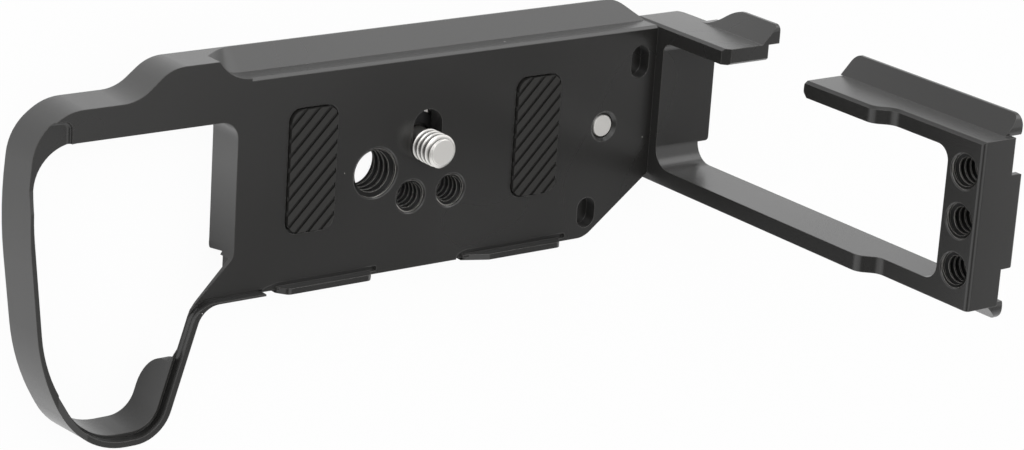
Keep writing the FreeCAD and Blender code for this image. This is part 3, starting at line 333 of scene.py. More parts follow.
class SharedEffects:
    """Surface effects that several finishes use, each a node group that is built once."""

    def __init__(self) -> None:
        """Builds the groups."""
        self.grain = self._build_grain()
        self.edges = self._build_edges()
        self.specks = self._build_specks()
        self.groove_shade = self._build_groove_shade()

    @staticmethod
    def _build_grain() -> bpy.types.NodeTree:
        """Fine pitted grain of a blasted or moulded surface, with slow drifts in its gloss.

        Returns:
            A group that puts out Height and Drift.
        """
        sheet, start, end = open_group(
            "blasted grain", "ShaderNodeTree",
            {"Grain Size": ("NodeSocketFloat", 0.3 * MM), "Drift Size": ("NodeSocketFloat", 30 * MM)},
            {"Height": "NodeSocketFloat", "Drift": "NodeSocketFloat"},
        )
        place = sheet.add("ShaderNodeTexCoord").outputs["Object"]
        for size, detail, result in (("Grain Size", 2.0, "Height"), ("Drift Size", 1.0, "Drift")):
            noise = sheet.add("ShaderNodeTexNoise")
            sheet.feed(place, noise.inputs["Vector"])
            sheet.feed(sheet.math("DIVIDE", 1.0, start[size]), noise.inputs["Scale"])
            sheet.feed(detail, noise.inputs["Detail"])
            sheet.feed(noise.outputs["Fac"], end[result])
        return sheet.tree

    @staticmethod
    def _build_edges() -> bpy.types.NodeTree:
        """Broken edges: a small rounding and a mask that is brightest along it.

        Returns:
            A group that puts out Normal and Edge.
        """
        sheet, start, end = open_group(
            "broken edges", "ShaderNodeTree",
            {"Radius": ("NodeSocketFloat", 0.2 * MM), "Gain": ("NodeSocketFloat", 6.0)},
            {"Normal": "NodeSocketVector", "Edge": "NodeSocketFloat"},
        )
        bevel = sheet.add("ShaderNodeBevel", samples=EDGE_SAMPLES)
        sheet.feed(start["Radius"], bevel.inputs["Radius"])
        plain = sheet.add("ShaderNodeNewGeometry").outputs["Normal"]
        alike = sheet.vector("DOT_PRODUCT", bevel.outputs["Normal"], plain)
        turned = sheet.math("SUBTRACT", 1.0, alike, clamp=True)
        sheet.feed(sheet.math("MULTIPLY", turned, start["Gain"], clamp=True), end["Edge"])
        sheet.feed(bevel.outputs["Normal"], end["Normal"])
        return sheet.tree

    @staticmethod
    def _build_specks() -> bpy.types.NodeTree:
        """Sparse pale dust specks.

        Returns:
            A group that puts out Speck, which is 1 on a speck.
        """
        sheet, start, end = open_group(
            "dust specks", "ShaderNodeTree",
            {"Spacing": ("NodeSocketFloat", 3 * MM), "Share": ("NodeSocketFloat", 0.08),
             "Speck Size": ("NodeSocketFloat", 0.045)},
            {"Speck": "NodeSocketFloat"},
        )
        cells = sheet.add("ShaderNodeTexVoronoi")
        sheet.feed(sheet.add("ShaderNodeTexCoord").outputs["Object"], cells.inputs["Vector"])
        sheet.feed(sheet.math("DIVIDE", 1.0, start["Spacing"]), cells.inputs["Scale"])
        colour = sheet.add("ShaderNodeSeparateColor")
        sheet.feed(cells.outputs["Color"], colour.inputs["Color"])
        chosen = sheet.math("LESS_THAN", colour.outputs["Red"], start["Share"])
        near = sheet.math("LESS_THAN", cells.outputs["Distance"], start["Speck Size"])
        sheet.feed(sheet.math("MULTIPLY", chosen, near), end["Speck"])
        return sheet.tree

    @staticmethod
    def _build_groove_shade() -> bpy.types.NodeTree:
        """Painted shade in narrow grooves, which little light gets into.

        Returns:
            A group that puts out Open, which falls to 0 deep in a groove.
        """
        sheet, start, end = open_group(
            "painted groove shade", "ShaderNodeTree",
            {"Reach": ("NodeSocketFloat", 0.6 * MM), "Power": ("NodeSocketFloat", 3.0)},
            {"Open": "NodeSocketFloat"},
        )
        # The occlusion darkens the colour where other surfaces lie near: painted shade.
        hidden = sheet.add("ShaderNodeAmbientOcclusion", samples=GROOVE_SHADE_SAMPLES)
        sheet.feed(start["Reach"], hidden.inputs["Distance"])
        sheet.feed(sheet.math("POWER", hidden.outputs["AO"], start["Power"]), end["Open"])
        return sheet.tree


@dataclass(frozen=True)
class Finish:
    """Colours and sizes that every finish has. Sizes are in metres."""

    name: str
    colour: Colour
    metallic: float
    roughness: float
    ior: float = 1.5
    sheen: float = 0.0
    drift: float = 0.06
    grain_size: float = 0.28 * MM
    grain_depth: float = 0.004 * MM
    edge_radius: float = 0.2 * MM
    # Colour along the rounded edges: lighter edges on the anodising, a painted highlight on the thread crests.
    edge_and_highlight_colour: Colour | None = None
    speck_share: float = 0.0
    speck_colour: Colour = linear(205, 203, 198)
    # Painted shade in narrow grooves: how far it looks for nearby surfaces, and its dark colour.
    painted_shade_reach: float = 0.0
    painted_shade_colour: Colour = linear(10, 10, 10)

    def material(self, effects: SharedEffects) -> bpy.types.Material:
        """Builds the material.

        Args:
            effects: The shared node groups.

        Returns:
            The new material.
        """
        material = bpy.data.materials.new(self.name)
        material.use_nodes = True
        sheet = NodeSheet(material.node_tree)
        shader = next(node for node in sheet.tree.nodes if node.type == "BSDF_PRINCIPLED")
        for value, label in ((self.colour, "Base Color"), (self.metallic, "Metallic"), (self.ior, "IOR"),
                             (self.sheen, "Sheen Weight")):
            sheet.feed(value, shader.inputs[label])
        grain = sheet.group(effects.grain, {"Grain Size": self.grain_size})
        roughness = sheet.ramp(grain["Drift"], 0.0, 1.0, self.roughness - self.drift, self.roughness + self.drift)
        sheet.feed(roughness, shader.inputs["Roughness"])
        edges = sheet.group(effects.edges, {"Radius": self.edge_radius})
        bump = sheet.add("ShaderNodeBump")
        sheet.feed(self.grain_depth, bump.inputs["Distance"])
        sheet.feed(grain["Height"], bump.inputs["Height"])
        sheet.feed(edges["Normal"], bump.inputs["Normal"])
        sheet.feed(bump.outputs["Normal"], shader.inputs["Normal"])
        sheet.feed(self._colouring(sheet, edges["Edge"], effects), shader.inputs["Base Color"])
        return material

    def _colouring(self, sheet: NodeSheet, edge: bpy.types.NodeSocket, effects: SharedEffects) -> object:
        """Mixes into the colour, where the finish has them: a lighter colour along the rounded edges (on the
        threads a painted highlight of the crests), dust, and painted shade in narrow grooves.

        Args:
            sheet: The material's nodes.
            edge: Mask of the broken edges.
            effects: The shared node groups.

        Returns:
            The mixed colour's socket, or the plain colour.
        """
        colour = self.colour
        # Lighter colour along the rounded edges; on the threads this is a painted highlight.
        if self.edge_and_highlight_colour is not None:
            colour = sheet.mixed(edge, colour, self.edge_and_highlight_colour)
        if self.speck_share > 0:
            specks = sheet.group(effects.specks, {"Share": self.speck_share})
            colour = sheet.mixed(specks["Speck"], colour, self.speck_colour)
        # Painted shade: darker colour deep in narrow grooves, such as those of a thread.
        if self.painted_shade_reach > 0:
            groove_shade = sheet.group(effects.groove_shade, {"Reach": self.painted_shade_reach})
            colour = sheet.mixed(groove_shade["Open"], self.painted_shade_colour, colour)
        return colour


ANODISED = Finish("satin black anodising", linear(21, 20, 18), metallic=0.0, roughness=0.26, ior=1.76, sheen=0.14,
                  drift=0.04, edge_and_highlight_colour=linear(70, 68, 65), speck_share=0.03)
# Darker copy of the anodising for the hole threads: its dark colour is painted shade of the deep holes, and its
# near-white edge colour paints highlights on the crests.
SHADED_THREAD = Finish("anodised thread with painted shade", linear(9, 9, 8), metallic=0.0, roughness=0.42, ior=1.32, edge_radius=0.14 * MM,
              edge_and_highlight_colour=linear(235, 232, 226))
RUBBER = Finish("matt black rubber", linear(33, 32, 30), metallic=0.0, roughness=0.62, grain_size=0.18 * MM,
                grain_depth=0.01 * MM, speck_share=0.05)
# The stainless parts get painted shade in their narrow thread grooves.
STAINLESS = Finish("bright turned stainless", linear(252, 250, 246), metallic=1.0, roughness=0.38, drift=0.03,
                   grain_depth=0.001 * MM, edge_radius=0.1 * MM, painted_shade_reach=0.7 * MM)
SPRING = Finish("plain spring steel", linear(176, 174, 170), metallic=1.0, roughness=0.3, drift=0.05,
                grain_depth=0.002 * MM)
BLACK_STEEL = Finish("black oxide", linear(70, 70, 70), metallic=1.0, roughness=0.4, drift=0.05,
                     grain_depth=0.002 * MM)


class Paints:
    """The materials of all finishes, by the record's slot, and that of the anodised holes' threads, which is
    darker as painted shade and has painted highlights on its crests.
    """

    FINISHES = {Slot.ANODISED: ANODISED, Slot.RUBBER: RUBBER, Slot.STAINLESS: STAINLESS, Slot.SPRING: SPRING,
                Slot.BLACK_STEEL: BLACK_STEEL}

    def __init__(self, effects: SharedEffects) -> None:
        """Builds the materials."""
        self._by_slot = {slot: finish.material(effects) for slot, finish in self.FINISHES.items()}
        self.shaded_thread = SHADED_THREAD.material(effects)

    def of(self, slot: Slot) -> bpy.types.Material:
        """Returns the material of a slot."""
        return self._by_slot[slot]


def dress(node: str, material: bpy.types.Material) -> None:
    """Gives a CAD node its material.

    Args:
        node: The node's name.
        material: The material for all its faces.
    """
    piece = frame["nodes"][node]
    if not piece.material_slots:
        piece.data.materials.append(material)
    for slot in piece.material_slots:
        slot.material = material
    LOG.info("dressed %s with %s", node, material.name)


class ThreadTree:
    """Geometry node tree that sweeps a thread's ridge along a helix."""

    INPUTS = {
        "Radius": ("NodeSocketFloat", 3 * MM), "Height": ("NodeSocketFloat", 5 * MM),
        "Turns": ("NodeSocketFloat", 5.0), "Root Width": ("NodeSocketFloat", 1 * MM),
        "Crest Width": ("NodeSocketFloat", 0.3 * MM), "Depth": ("NodeSocketFloat", 0.7 * MM),
        "Outward": ("NodeSocketFloat", -1.0), "Bury": ("NodeSocketFloat", 0.03 * MM),
        "Steps": ("NodeSocketInt", 48), "Material": ("NodeSocketMaterial", None),
    }

    def __init__(self) -> None:
        """Builds the tree: a helix, the ridge's section and the sweep."""
        sheet, start, end = open_group("thread ridge", "GeometryNodeTree", self.INPUTS,
                                       {"Geometry": "NodeSocketGeometry"})
        self.tree = sheet.tree
        helix = sheet.add("GeometryNodeCurveSpiral")
        for source, target in (("Steps", "Resolution"), ("Turns", "Rotations"), ("Radius", "Start Radius"),
                               ("Radius", "End Radius"), ("Height", "Height")):
            sheet.feed(start[source], helix.inputs[target])
        upright = sheet.add("GeometryNodeSetCurveNormal", mode="Z_UP")
        sheet.feed(helix.outputs["Curve"], upright.inputs["Curve"])
        sweep = sheet.add("GeometryNodeCurveToMesh")
        sheet.feed(True, sweep.inputs["Fill Caps"])
        sheet.feed(upright.outputs["Curve"], sweep.inputs["Curve"])
        sheet.feed(self._section(sheet, start), sweep.inputs["Profile Curve"])
        real = sheet.add("GeometryNodeRealizeInstances")
        sheet.feed(sweep.outputs["Mesh"], real.inputs["Geometry"])
        paint = sheet.add("GeometryNodeSetMaterial")
        sheet.feed(real.outputs["Geometry"], paint.inputs["Geometry"])
        sheet.feed(start["Material"], paint.inputs["Material"])
        sheet.feed(paint.outputs["Geometry"], end["Geometry"])

    @staticmethod
    def _section(sheet: NodeSheet, start: bpy.types.NodeOutputs) -> bpy.types.NodeSocket:
        """Adds the ridge's section, a trapezium whose root is buried in the wall.

        Args:
            sheet: The tree's nodes.
            start: Sockets of the tree's inputs.

        Returns:
            The section's curve socket.
        """
        inward = sheet.math("MULTIPLY", start["Outward"], -1.0)
        crest = sheet.math("MULTIPLY", start["Depth"], inward)
        root = sheet.math("MULTIPLY", start["Bury"], start["Outward"])
        section = sheet.add("GeometryNodeCurvePrimitiveQuadrilateral", mode="POINTS")
        half_root = sheet.math("MULTIPLY", start["Root Width"], 0.5)
        half_crest = sheet.math("MULTIPLY", start["Crest Width"], 0.5)
        corners = ((root, half_root, -1), (crest, half_crest, -1), (crest, half_crest, 1), (root, half_root, 1))
        for index, (across, half, sign) in enumerate(corners, 1):
            point = sheet.add("ShaderNodeCombineXYZ")
            sheet.feed(across, point.inputs["X"])
            sheet.feed(sheet.math("MULTIPLY", half, sign), point.inputs["Y"])
            sheet.feed(point.outputs["Vector"], section.inputs[f"Point {index}"])
        return section.outputs["Curve"]

    def identifiers(self) -> dict[str, str]:
        """Returns the tree's input identifiers by name."""
        return {item.name: item.identifier for item in self.tree.interface.items_tree if item.in_out == "INPUT"}


@dataclass
class ThreadForm:
    """A 60 degree screw thread with flat crests and roots, in metres."""

    major_radius: float
    pitch: float
    length: float
    wall: Wall
    foot_cone: float | None = None
    top_cone: float | None = None
    steps: int = 48

    DEPTH_SHARE = 0.5413
    ROOT_SHARE = 0.875
    FLANK_ANGLE = 30
    SHARP_ANGLE = 28

    @property
    def depth(self) -> float:
        """Height of the ridge."""
        return self.DEPTH_SHARE * self.pitch

    @property
    def root_width(self) -> float:
        """Width of the ridge on the wall that it stands on."""
        return self.ROOT_SHARE * self.pitch

    @property
    def crest_width(self) -> float:
        """Width of the ridge's flat crest."""
        return self.root_width - 2 * self.depth * math.tan(math.radians(self.FLANK_ANGLE))

    @property
    def wall_radius(self) -> float:
        """Radius of the wall that the ridge stands on."""
        return self.major_radius if self.wall is Wall.INWARD else self.major_radius - self.depth

    def build(self, name: str, threads: ThreadTree, material: bpy.types.Material, foot: Vector,
              axis: Axis) -> bpy.types.Object:
        """Makes the ridge as a plain mesh in its place, cut square at both ends.

        Args:
            name: Name of the new piece.
            threads: The tree that sweeps the ridge.
            material: The ridge's material.
            foot: Where the thread starts on its middle line.
            axis: Direction of the middle line.

        Returns:
            The finished piece.
        """
        mesh = self._swept(name, threads, material)
        self._trim(mesh)
        mesh.shade_smooth()
        mesh.set_sharp_from_angle(angle=math.radians(self.SHARP_ANGLE))
        turn = Matrix.Identity(4) if axis is Axis.UP else Matrix.Rotation(math.radians(90), 4, "Y")
        mesh.transform(Matrix.Translation(foot) @ turn)
        return placed(name, mesh)

    def _swept(self, name: str, threads: ThreadTree, material: bpy.types.Material) -> bpy.types.Mesh:
        """Runs the tree over one pitch more than the thread at each end.

        Args:
            name: Name of the new mesh.
            threads: The tree that sweeps the ridge.
            material: The ridge's material.

        Returns:
            The ridge, with its middle line on Z and its foot at 0.
        """
        holder = placed(name + "_holder", bpy.data.meshes.new(name + "_holder"))
        modifier = holder.modifiers.new("thread", "NODES")
        modifier.node_group = threads.tree
        sockets = threads.identifiers()
        reach = self.length + 2 * self.pitch
        values = {"Radius": self.wall_radius, "Height": reach, "Turns": reach / self.pitch,
                  "Root Width": self.root_width, "Crest Width": self.crest_width, "Depth": self.depth,
                  "Outward": float(self.wall.value), "Steps": self.steps, "Material": material}
        for label, value in values.items():
            modifier[sockets[label]] = value
        bpy.context.view_layer.update()
        graph = bpy.context.evaluated_depsgraph_get()
        mesh = bpy.data.meshes.new_from_object(holder.evaluated_get(graph), depsgraph=graph)
        mesh.name = name
        bpy.data.objects.remove(holder)
        mesh.transform(Matrix.Translation((0, 0, -self.pitch)))
        return mesh

    def _trim(self, mesh: bpy.types.Mesh) -> None:
        """Cuts the ridge off at its two ends and leads it in along 45 degree cones, where it has them.

        Args:
            mesh: The ridge, with its middle line on Z and its foot at 0.
        """
        shape = bmesh.new()
        shape.from_mesh(mesh)
        for height, direction in ((0.0, -1), (self.length, 1)):
            everything = shape.verts[:] + shape.edges[:] + shape.faces[:]
            bmesh.ops.bisect_plane(shape, geom=everything, dist=ON_PLANE, plane_co=(0, 0, height),
                                   plane_no=(0, 0, direction), clear_outer=True)
            bmesh.ops.holes_fill(shape, edges=[edge for edge in shape.edges if edge.is_boundary])
        for vert in shape.verts:
            radius = math.hypot(vert.co.x, vert.co.y)
            limit = radius
            for cone, inside in ((self.foot_cone, vert.co.z), (self.top_cone, self.length - vert.co.z)):
                if cone is None:
                    continue
                edge = cone + self.wall.value * inside
                limit = max(limit, min(edge, self.wall_radius)) if self.wall is Wall.INWARD else min(limit, edge)
            vert.co.x *= limit / radius
            vert.co.y *= limit / radius
        bmesh.ops.recalc_face_normals(shape, faces=shape.faces)
        shape.to_mesh(mesh)
        shape.free()


@dataclass(frozen=True)
class DarkPlace:
    """A darker place in the white tent, with its two angles in degrees."""

    direction: Point
    reach: float
    blur: float
    depth: float


@dataclass(frozen=True)
class Softbox:
    """A soft lamp that faces the object, in metres and watts."""

    name: str
    direction: Point
    width: float
    height: float
    power: float
    distance: float = 1.2

    def hang(self) -> None:
        """Places the lamp."""
        light = bpy.data.lights.new(self.name, "AREA")
        light.shape = "RECTANGLE"
        light.size = self.width
        light.size_y = self.height
        light.energy = self.power
        lamp = placed(self.name, light)
        lamp.location = Vector(self.direction).normalized() * self.distance
        lamp.rotation_euler = lamp.location.to_track_quat("Z", "Y").to_euler()


@dataclass
class Studio:
    """Floor, world and lamps. The floor has dimmer places that only the object's gloss sees, as its shadow."""

    floor_width: float = 6.0
    floor_white: float = 0.95
    floor_matt: Colour = (0.9, 0.9, 0.9, 1.0)
    shade_middle: Point = (-0.010, -0.045, 0.0)
    shade_size: Point = (0.052, 0.042, 1.0)
    shade_blur: tuple[float, float] = (1.2, 0.7)
    shade_depth: float = 0.88
    far_blur: tuple[float, float] = (0.03, 0.08)
    far_depth: float = 0.35
    room_strength: float = 0.85
    dark_places: tuple[DarkPlace, ...] = (
        DarkPlace((0.582, -0.35, 0.734), reach=7.2, blur=5.0, depth=1.0),
        DarkPlace((-0.68, -0.3, 0.67), reach=16.0, blur=10.0, depth=0.8))
    softboxes: tuple[Softbox, ...] = (
        Softbox("key_softbox", (-0.25, 0.45, 0.9), width=0.5, height=0.5, power=2.0),
        Softbox("back_softbox", (0.57, 0.78, 0.25), width=0.8, height=0.6, power=1.6))

    def build(self) -> None:
        """Builds the whole setting."""
        self._floor()
        self._world()
        for softbox in self.softboxes:
            softbox.hang()

    def _floor(self) -> None:
        """Lays a white floor under the object's lowest point."""
        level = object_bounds()[0][2]
        half = self.floor_width / 2
        mesh = bpy.data.meshes.new("floor")
        corners = [(-half, -half, level), (half, -half, level), (half, half, level), (-half, half, level)]
        mesh.from_pydata(corners, [], [(0, 1, 2, 3)])
        mesh.materials.append(self._floor_material())
        placed("floor", mesh)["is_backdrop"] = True

    @staticmethod
    def _rays(sheet: NodeSheet, *kinds: str) -> bpy.types.NodeSocket:
        """Adds a mask that is 1 for rays of some kinds.

        Args:
            sheet: Nodes of the floor or the world.
            *kinds: Names of the Light Path node's sockets.

        Returns:
            The mask's socket.
        """
        rays = sheet.add("ShaderNodeLightPath").outputs
        mask = rays[kinds[0]]
        for kind in kinds[1:]:
            mask = sheet.math("MAXIMUM", mask, rays[kind])
        return mask

    def _shade(self, sheet: NodeSheet) -> bpy.types.NodeSocket:
        """Adds the floor's dimmer places in front of and behind the object, as its own gloss sees them.

        Args:
            sheet: The floor's nodes.

        Returns:
            The socket with the floor's white.
        """
        place = sheet.add("ShaderNodeTexCoord").outputs["Object"]
        shift = sheet.vector("SUBTRACT", place, self.shade_middle)
        away = sheet.vector("LENGTH", sheet.vector("DIVIDE", shift, self.shade_size))
        near = sheet.ramp(away, *self.shade_blur, 0.0, self.shade_depth)
        parts = sheet.add("ShaderNodeSeparateXYZ")
        sheet.feed(place, parts.inputs["Vector"])
        far = sheet.ramp(parts.outputs["Y"], *self.far_blur, 0.0, self.far_depth)
        dim = sheet.math("MULTIPLY", sheet.math("ADD", near, far), self._rays(sheet, "Is Glossy Ray"))
        return sheet.math("SUBTRACT", 1.0, dim)

    def _floor_material(self) -> bpy.types.Material:
        """Builds the floor's white, which keeps part of the shadow that falls on it.

        Returns:
            The floor's material.
        """
        material = bpy.data.materials.new("white floor")
        sheet = bare_sheet(material)
        matt = sheet.add("ShaderNodeBsdfDiffuse")
        sheet.feed(self.floor_matt, matt.inputs["Color"])
        plain = sheet.add("ShaderNodeEmission")
        sheet.feed(self._shade(sheet), plain.inputs["Strength"])
        seen = self._rays(sheet, "Is Camera Ray", "Is Glossy Ray", "Is Transmission Ray")
        sheet.close(sheet.math("MULTIPLY", seen, self.floor_white), matt, plain, "ShaderNodeOutputMaterial")
        return material

    def _world(self) -> None:
        """Surrounds the object with a white tent, which the camera sees plain and the object with dark places."""
        world = bpy.data.worlds.new("studio")
        bpy.context.scene.world = world
        sheet = bare_sheet(world)
        way = sheet.add("ShaderNodeTexCoord").outputs["Generated"]
        strength = self.room_strength
        for dark in self.dark_places:
            towards = sheet.vector("DOT_PRODUCT", way, Vector(dark.direction).normalized())
            patch = sheet.ramp(towards, math.cos(math.radians(dark.reach + dark.blur)),
                               math.cos(math.radians(dark.reach)), 1.0, 1.0 - dark.depth)
            strength = sheet.math("MULTIPLY", strength, patch)
        room, white = (sheet.add("ShaderNodeBackground") for _ in range(2))
        for background, level in ((room, strength), (white, 1.0)):
            sheet.feed(WHITE, background.inputs["Color"])
            sheet.feed(level, background.inputs["Strength"])
        seen = self._rays(sheet, "Is Camera Ray", "Is Transmission Ray")
        sheet.close(seen, room, white, "ShaderNodeOutputWorld")


@dataclass
class ProductCamera:
    """The photograph's view, solved from the clamp rail and the threads."""

    lens: float = 116.876
    sensor: float = 36.0
    place_mm: Point = (-342.770, 174.987, 481.051)
    right: Point = (0.80342, 0.06319, 0.59205)
    up: Point = (0.13669, 0.94822, -0.2867)
    back: Point = (-0.57951, 0.31127, 0.75318)
    nearest: float = 0.01
    farthest: float = 50.0

    def build(self) -> None:
        """Places the camera and makes it the scene's own."""
        data = bpy.data.cameras.new("product_camera")
        data.lens = self.lens
        data.sensor_width = self.sensor
        data.clip_start = self.nearest
        data.clip_end = self.farthest
        camera = placed("product_camera", data)
        turn = Matrix((self.right, self.up, self.back)).transposed()
        camera.matrix_world = Matrix.Translation(Vector(self.place_mm) * MM) @ turn.to_4x4()
        bpy.context.scene.camera = camera


@dataclass
class ThreadedPlate:
    """What both plates have: a CAD node, its body, and mounts that are threaded holes."""

    node: str
    body: str
    holes: str

    def thread(self, mount: dict) -> tuple[ThreadForm, Vector, Axis]:
        """Works out one hole's thread, which each plate does in its own way.

        Args:
            mount: The hole's mount in the record.

        Returns:
            The thread, its foot and the direction of its middle line.
        """
        raise NotImplementedError

    def build(self, paints: Paints, threads: ThreadTree) -> list[bpy.types.Object]:
        """Dresses the plate and threads its holes.

        Args:
            paints: The materials.
            threads: The tree that sweeps a ridge.

        Returns:
            The new pieces.
        """
        dress(self.node, paints.of(Slot.ANODISED))
        pieces = []
        for mount in frame["record"]["mounts"]:
            if not mount["name"].startswith(self.holes):
                continue
            form, foot, axis = self.thread(mount)
            # The hole threads take the darker thread material, with painted shade and painted crest highlights.
            piece = form.build(mount["name"], threads, paints.shaded_thread, foot, axis)
            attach(piece, self.body)
            pieces.append(piece)
        return pieces


@dataclass
class BasePlate(ThreadedPlate):
    """Base plate with its rail and loop, and three threads right through its seat."""

    node: str = "base_plate"
    body: str = "base"
    holes: str = "tripod_thread"
    fine_pitch: float = 1.27 * MM
    coarse_pitch: float = 1.5875 * MM
    mouth: float = -0.3 * MM
    first_turn: float = 0.2 * MM

    def thread(self, mount: dict) -> tuple[ThreadForm, Vector, Axis]:
        """Works out the thread of an upright hole, set back from both mouths.

        Args:
            mount: The hole's mount in the record.

        Returns:
            The thread, its foot and the direction of its middle line.
        """
        radius = mount["dims"]["r_mm"] * MM
        pitch = self.coarse_pitch if "large" in mount["name"] else self.fine_pitch
        length = mount["dims"]["length_mm"] * MM + self.mouth
        form = ThreadForm(radius, pitch, length, Wall.INWARD, foot_cone=radius, top_cone=radius - self.first_turn)
        x, y, z = mount["pos_m"]
        return form, Vector((x, y, z - length / 2)), Axis.UP


@dataclass
class SidePlate(ThreadedPlate):
    """Side plate with its rail, and three threads through its top, of which the outer two stop at a relief."""

    node: str = "side_plate"
    body: str = "side"
    holes: str = "side_thread"
    pitch: float = 1.27 * MM
    relief: float = 2.6 * MM

    def thread(self, mount: dict) -> tuple[ThreadForm, Vector, Axis]:
        """Works out the thread of a hole that runs across the bar.

        Args:
            mount: The hole's mount in the record.

        Returns:
            The thread, its foot and the direction of its middle line.
        """
        radius = mount["dims"]["r_mm"] * MM
        depth = mount["dims"]["length_mm"] * MM
        length = depth if "middle" in mount["name"] else depth - self.relief
        form = ThreadForm(radius, self.pitch, length, Wall.INWARD, foot_cone=radius, top_cone=radius)
        x, y, z = mount["pos_m"]
        return form, Vector((x - depth / 2, y, z)), Axis.ACROSS


@dataclass
class GripPads:
    """Ribbed rubber pads in the seat."""

    nodes: tuple[str, str] = ("left_grip_pad", "right_grip_pad")

    def build(self, paints: Paints) -> None:
        """Dresses both pads."""
        for node in self.nodes:
            dress(node, paints.of(Slot.RUBBER))


@dataclass
class SmallHardware:
    """Steel parts whose CAD form is kept."""

    slots: dict[str, Slot] = field(default_factory=lambda: {
        "screw_washer": Slot.BLACK_STEEL, "locating_pin": Slot.STAINLESS, "screw_clip": Slot.SPRING,
        "clamp_screws": Slot.BLACK_STEEL, "clamp_washers": Slot.BLACK_STEEL})

    def build(self, paints: Paints) -> None:
        """Dresses each part."""
        for node, slot in self.slots.items():
            dress(node, paints.of(slot))


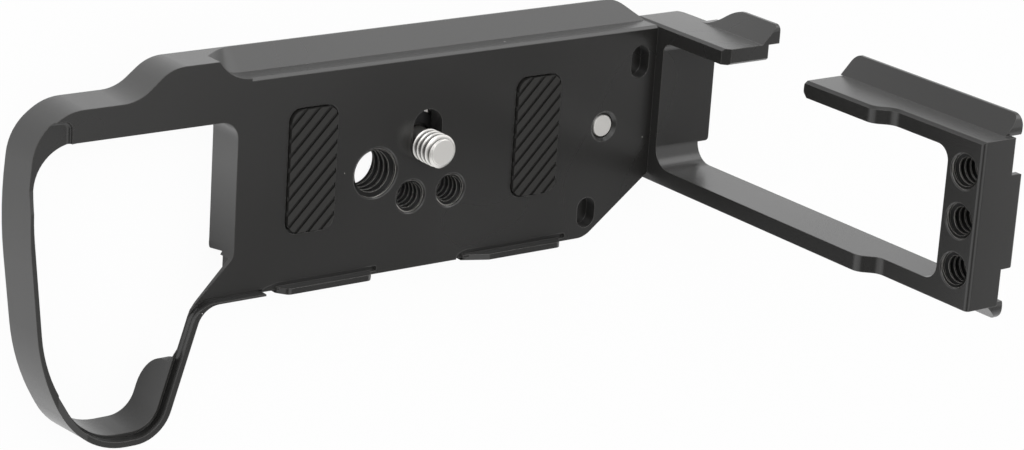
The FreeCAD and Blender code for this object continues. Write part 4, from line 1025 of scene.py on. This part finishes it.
@dataclass
class CameraScrew:
    """Threaded camera screw that stands for the plain CAD one."""

    node: str = "camera_screw"
    body: str = "screw"
    seat_node: str = "base_plate"
    thread_radius: float = 3.175 * MM
    pitch: float = 1.27 * MM
    head_radius: float = 5.5 * MM
    head_height: float = 2.5 * MM
    neck_radius: float = 2.7 * MM
    tip_chamfer: float = 0.75 * MM
    tip_edge: float = 0.15 * MM
    sunk_thread: float = 2.2 * MM
    head_edge: float = 0.25 * MM
    key_width: float = 4.0 * MM
    key_depth: float = 1.9 * MM
    coin_slot_width: float = 1.4 * MM
    coin_slot_depth: float = 1.1 * MM
    overcut: float = 1.0 * MM
    sides: int = 72
    thread_steps: int = 64

    def build(self, paints: Paints, threads: ThreadTree) -> bpy.types.Object:
        """Makes the screw: head, neck, core and ridge in one piece.

        Args:
            paints: The materials.
            threads: The tree that sweeps the ridge.

        Returns:
            The finished piece.
        """
        low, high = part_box(self.node)
        middle = Vector(((low[0] + high[0]) / 2, (low[1] + high[1]) / 2, 0.0))
        foot = low[2]
        tip = high[2]
        thread_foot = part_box(self.seat_node)[1][2] - self.sunk_thread
        length = tip - self.tip_edge - thread_foot
        top_cone = self.thread_radius - self.tip_chamfer + self.tip_edge
        form = ThreadForm(self.thread_radius, self.pitch, length, Wall.OUTWARD, top_cone=top_cone,
                          steps=self.thread_steps)
        body = self._turned("camera_screw_body", self._profile(form.wall_radius, foot, thread_foot, tip), middle)
        self._cut(body, self._key_socket(middle, foot))
        self._cut(body, self._coin_slot(middle, foot))
        body.data.materials.clear()
        body.data.materials.append(paints.of(Slot.STAINLESS))
        ridge = form.build("camera_screw_ridge", threads, paints.of(Slot.STAINLESS),
                           Vector((middle.x, middle.y, thread_foot)), Axis.UP)
        piece = self._joined("threaded_camera_screw", (body, ridge))
        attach(piece, self.body)
        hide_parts(self.node)
        return piece

    def _profile(self, core: float, foot: float, thread_foot: float, tip: float) -> list[tuple[float, float]]:
        """Lists the screw's profile under its ridge.

        Args:
            core: Radius of the core that the ridge stands on.
            foot: Height of the head's underside.
            thread_foot: Height at which the thread starts.
            tip: Height of the screw's tip.

        Returns:
            Points of radius and height, from the foot to the tip.
        """
        edge = self.head_edge
        shoulder = foot + self.head_height
        return [(0.0, foot), (self.head_radius - edge, foot), (self.head_radius, foot + edge),
                (self.head_radius, shoulder - edge), (self.head_radius - edge, shoulder),
                (self.neck_radius, shoulder), (self.neck_radius, thread_foot),
                (core, thread_foot + edge), (core, tip - self.tip_edge), (core - self.tip_edge, tip), (0.0, tip)]

    def _turned(self, name: str, profile: list[tuple[float, float]], middle: Vector) -> bpy.types.Object:
        """Turns a profile about the screw's middle line.

        Args:
            name: Name of the new object.
            profile: Points of radius and height, from the foot to the tip.
            middle: A point on the middle line.

        Returns:
            The closed body.
        """
        shape = bmesh.new()
        points = [shape.verts.new((middle.x + radius, middle.y, height)) for radius, height in profile]
        edges = [shape.edges.new(pair) for pair in zip(points, points[1:])]
        bmesh.ops.spin(shape, geom=points + edges, cent=middle, axis=(0, 0, 1), angle=math.tau, steps=self.sides,
                       use_merge=True)
        bmesh.ops.remove_doubles(shape, verts=shape.verts, dist=SAME_POINT)
        bmesh.ops.recalc_face_normals(shape, faces=shape.faces)
        return placed(name, settled(name, shape))

    def _key_socket(self, middle: Vector, foot: float) -> bpy.types.Object:
        """Makes a six-sided cutter for the key's socket.

        Args:
            middle: A point on the screw's middle line.
            foot: Height of the head's underside.

        Returns:
            The cutter, with its far end in the head.
        """
        radius = self.key_width / math.sqrt(3)
        angles = [math.radians(60 * step) for step in range(6)]
        outline = [(middle.x + radius * math.cos(angle), middle.y + radius * math.sin(angle)) for angle in angles]
        return self._prism("key_socket", outline, foot - self.overcut, foot + self.key_depth)

    def _coin_slot(self, middle: Vector, foot: float) -> bpy.types.Object:
        """Makes a long box that cuts the coin slot across the head.

        Args:
            middle: A point on the screw's middle line.
            foot: Height of the head's underside.

        Returns:
            The cutter, with its far end in the head.
        """
        reach = self.head_radius + self.overcut
        half = self.coin_slot_width / 2
        corners = ((-reach, -half), (reach, -half), (reach, half), (-reach, half))
        outline = [(middle.x + x, middle.y + y) for x, y in corners]
        return self._prism("coin_slot", outline, foot - self.overcut, foot + self.coin_slot_depth)

    @staticmethod
    def _prism(name: str, outline: list[tuple[float, float]], low: float, high: float) -> bpy.types.Object:
        """Makes a closed upright prism.

        Args:
            name: Name of the new object.
            outline: Corners in plan, anticlockwise.
            low: Height of its foot.
            high: Height of its top.

        Returns:
            The prism.
        """
        count = len(outline)
        points = [(x, y, low) for x, y in outline] + [(x, y, high) for x, y in outline]
        sides = [(k, (k + 1) % count, count + (k + 1) % count, count + k) for k in range(count)]
        mesh = bpy.data.meshes.new(name)
        mesh.from_pydata(points, [], sides + [tuple(reversed(range(count))), tuple(range(count, 2 * count))])
        return placed(name, mesh)

    @staticmethod
    def _cut(body: bpy.types.Object, cutter: bpy.types.Object) -> None:
        """Cuts one object out of another and removes the cutter.

        Args:
            body: The object that is cut.
            cutter: The object that is cut out of it.
        """
        modifier = body.modifiers.new("cut", "BOOLEAN")
        modifier.operation = "DIFFERENCE"
        modifier.solver = "EXACT"
        modifier.object = cutter
        graph = bpy.context.evaluated_depsgraph_get()
        mesh = bpy.data.meshes.new_from_object(body.evaluated_get(graph), depsgraph=graph)
        body.modifiers.clear()
        body.data = mesh
        bpy.data.objects.remove(cutter)

    @staticmethod
    def _joined(name: str, parts: tuple[bpy.types.Object, ...]) -> bpy.types.Object:
        """Puts several objects of one material into one mesh.

        Args:
            name: Name of the new piece.
            parts: Objects that it takes in, which are removed.

        Returns:
            The piece.
        """
        shape = bmesh.new()
        for part in parts:
            shape.from_mesh(part.data)
        mesh = settled(name, shape)
        mesh.materials.append(parts[0].data.materials[0])
        for part in parts:
            bpy.data.objects.remove(part)
        return placed(name, mesh)


def main() -> None:
    """Dresses the bracket, adds its threads, and builds the setting."""
    logging.basicConfig(level=logging.INFO, format="%(name)s: %(message)s")
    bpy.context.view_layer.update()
    bpy.context.scene.view_settings.view_transform = "Standard"
    paints = Paints(SharedEffects())
    threads = ThreadTree()
    pieces = BasePlate().build(paints, threads)
    pieces += SidePlate().build(paints, threads)
    GripPads().build(paints)
    SmallHardware().build(paints)
    pieces.append(CameraScrew().build(paints, threads))
    for piece in pieces:
        LOG.info("built %s with %d faces", piece.name, len(piece.data.polygons))
    Studio().build()
    ProductCamera().build()


if __name__ == "__main__":
    main()
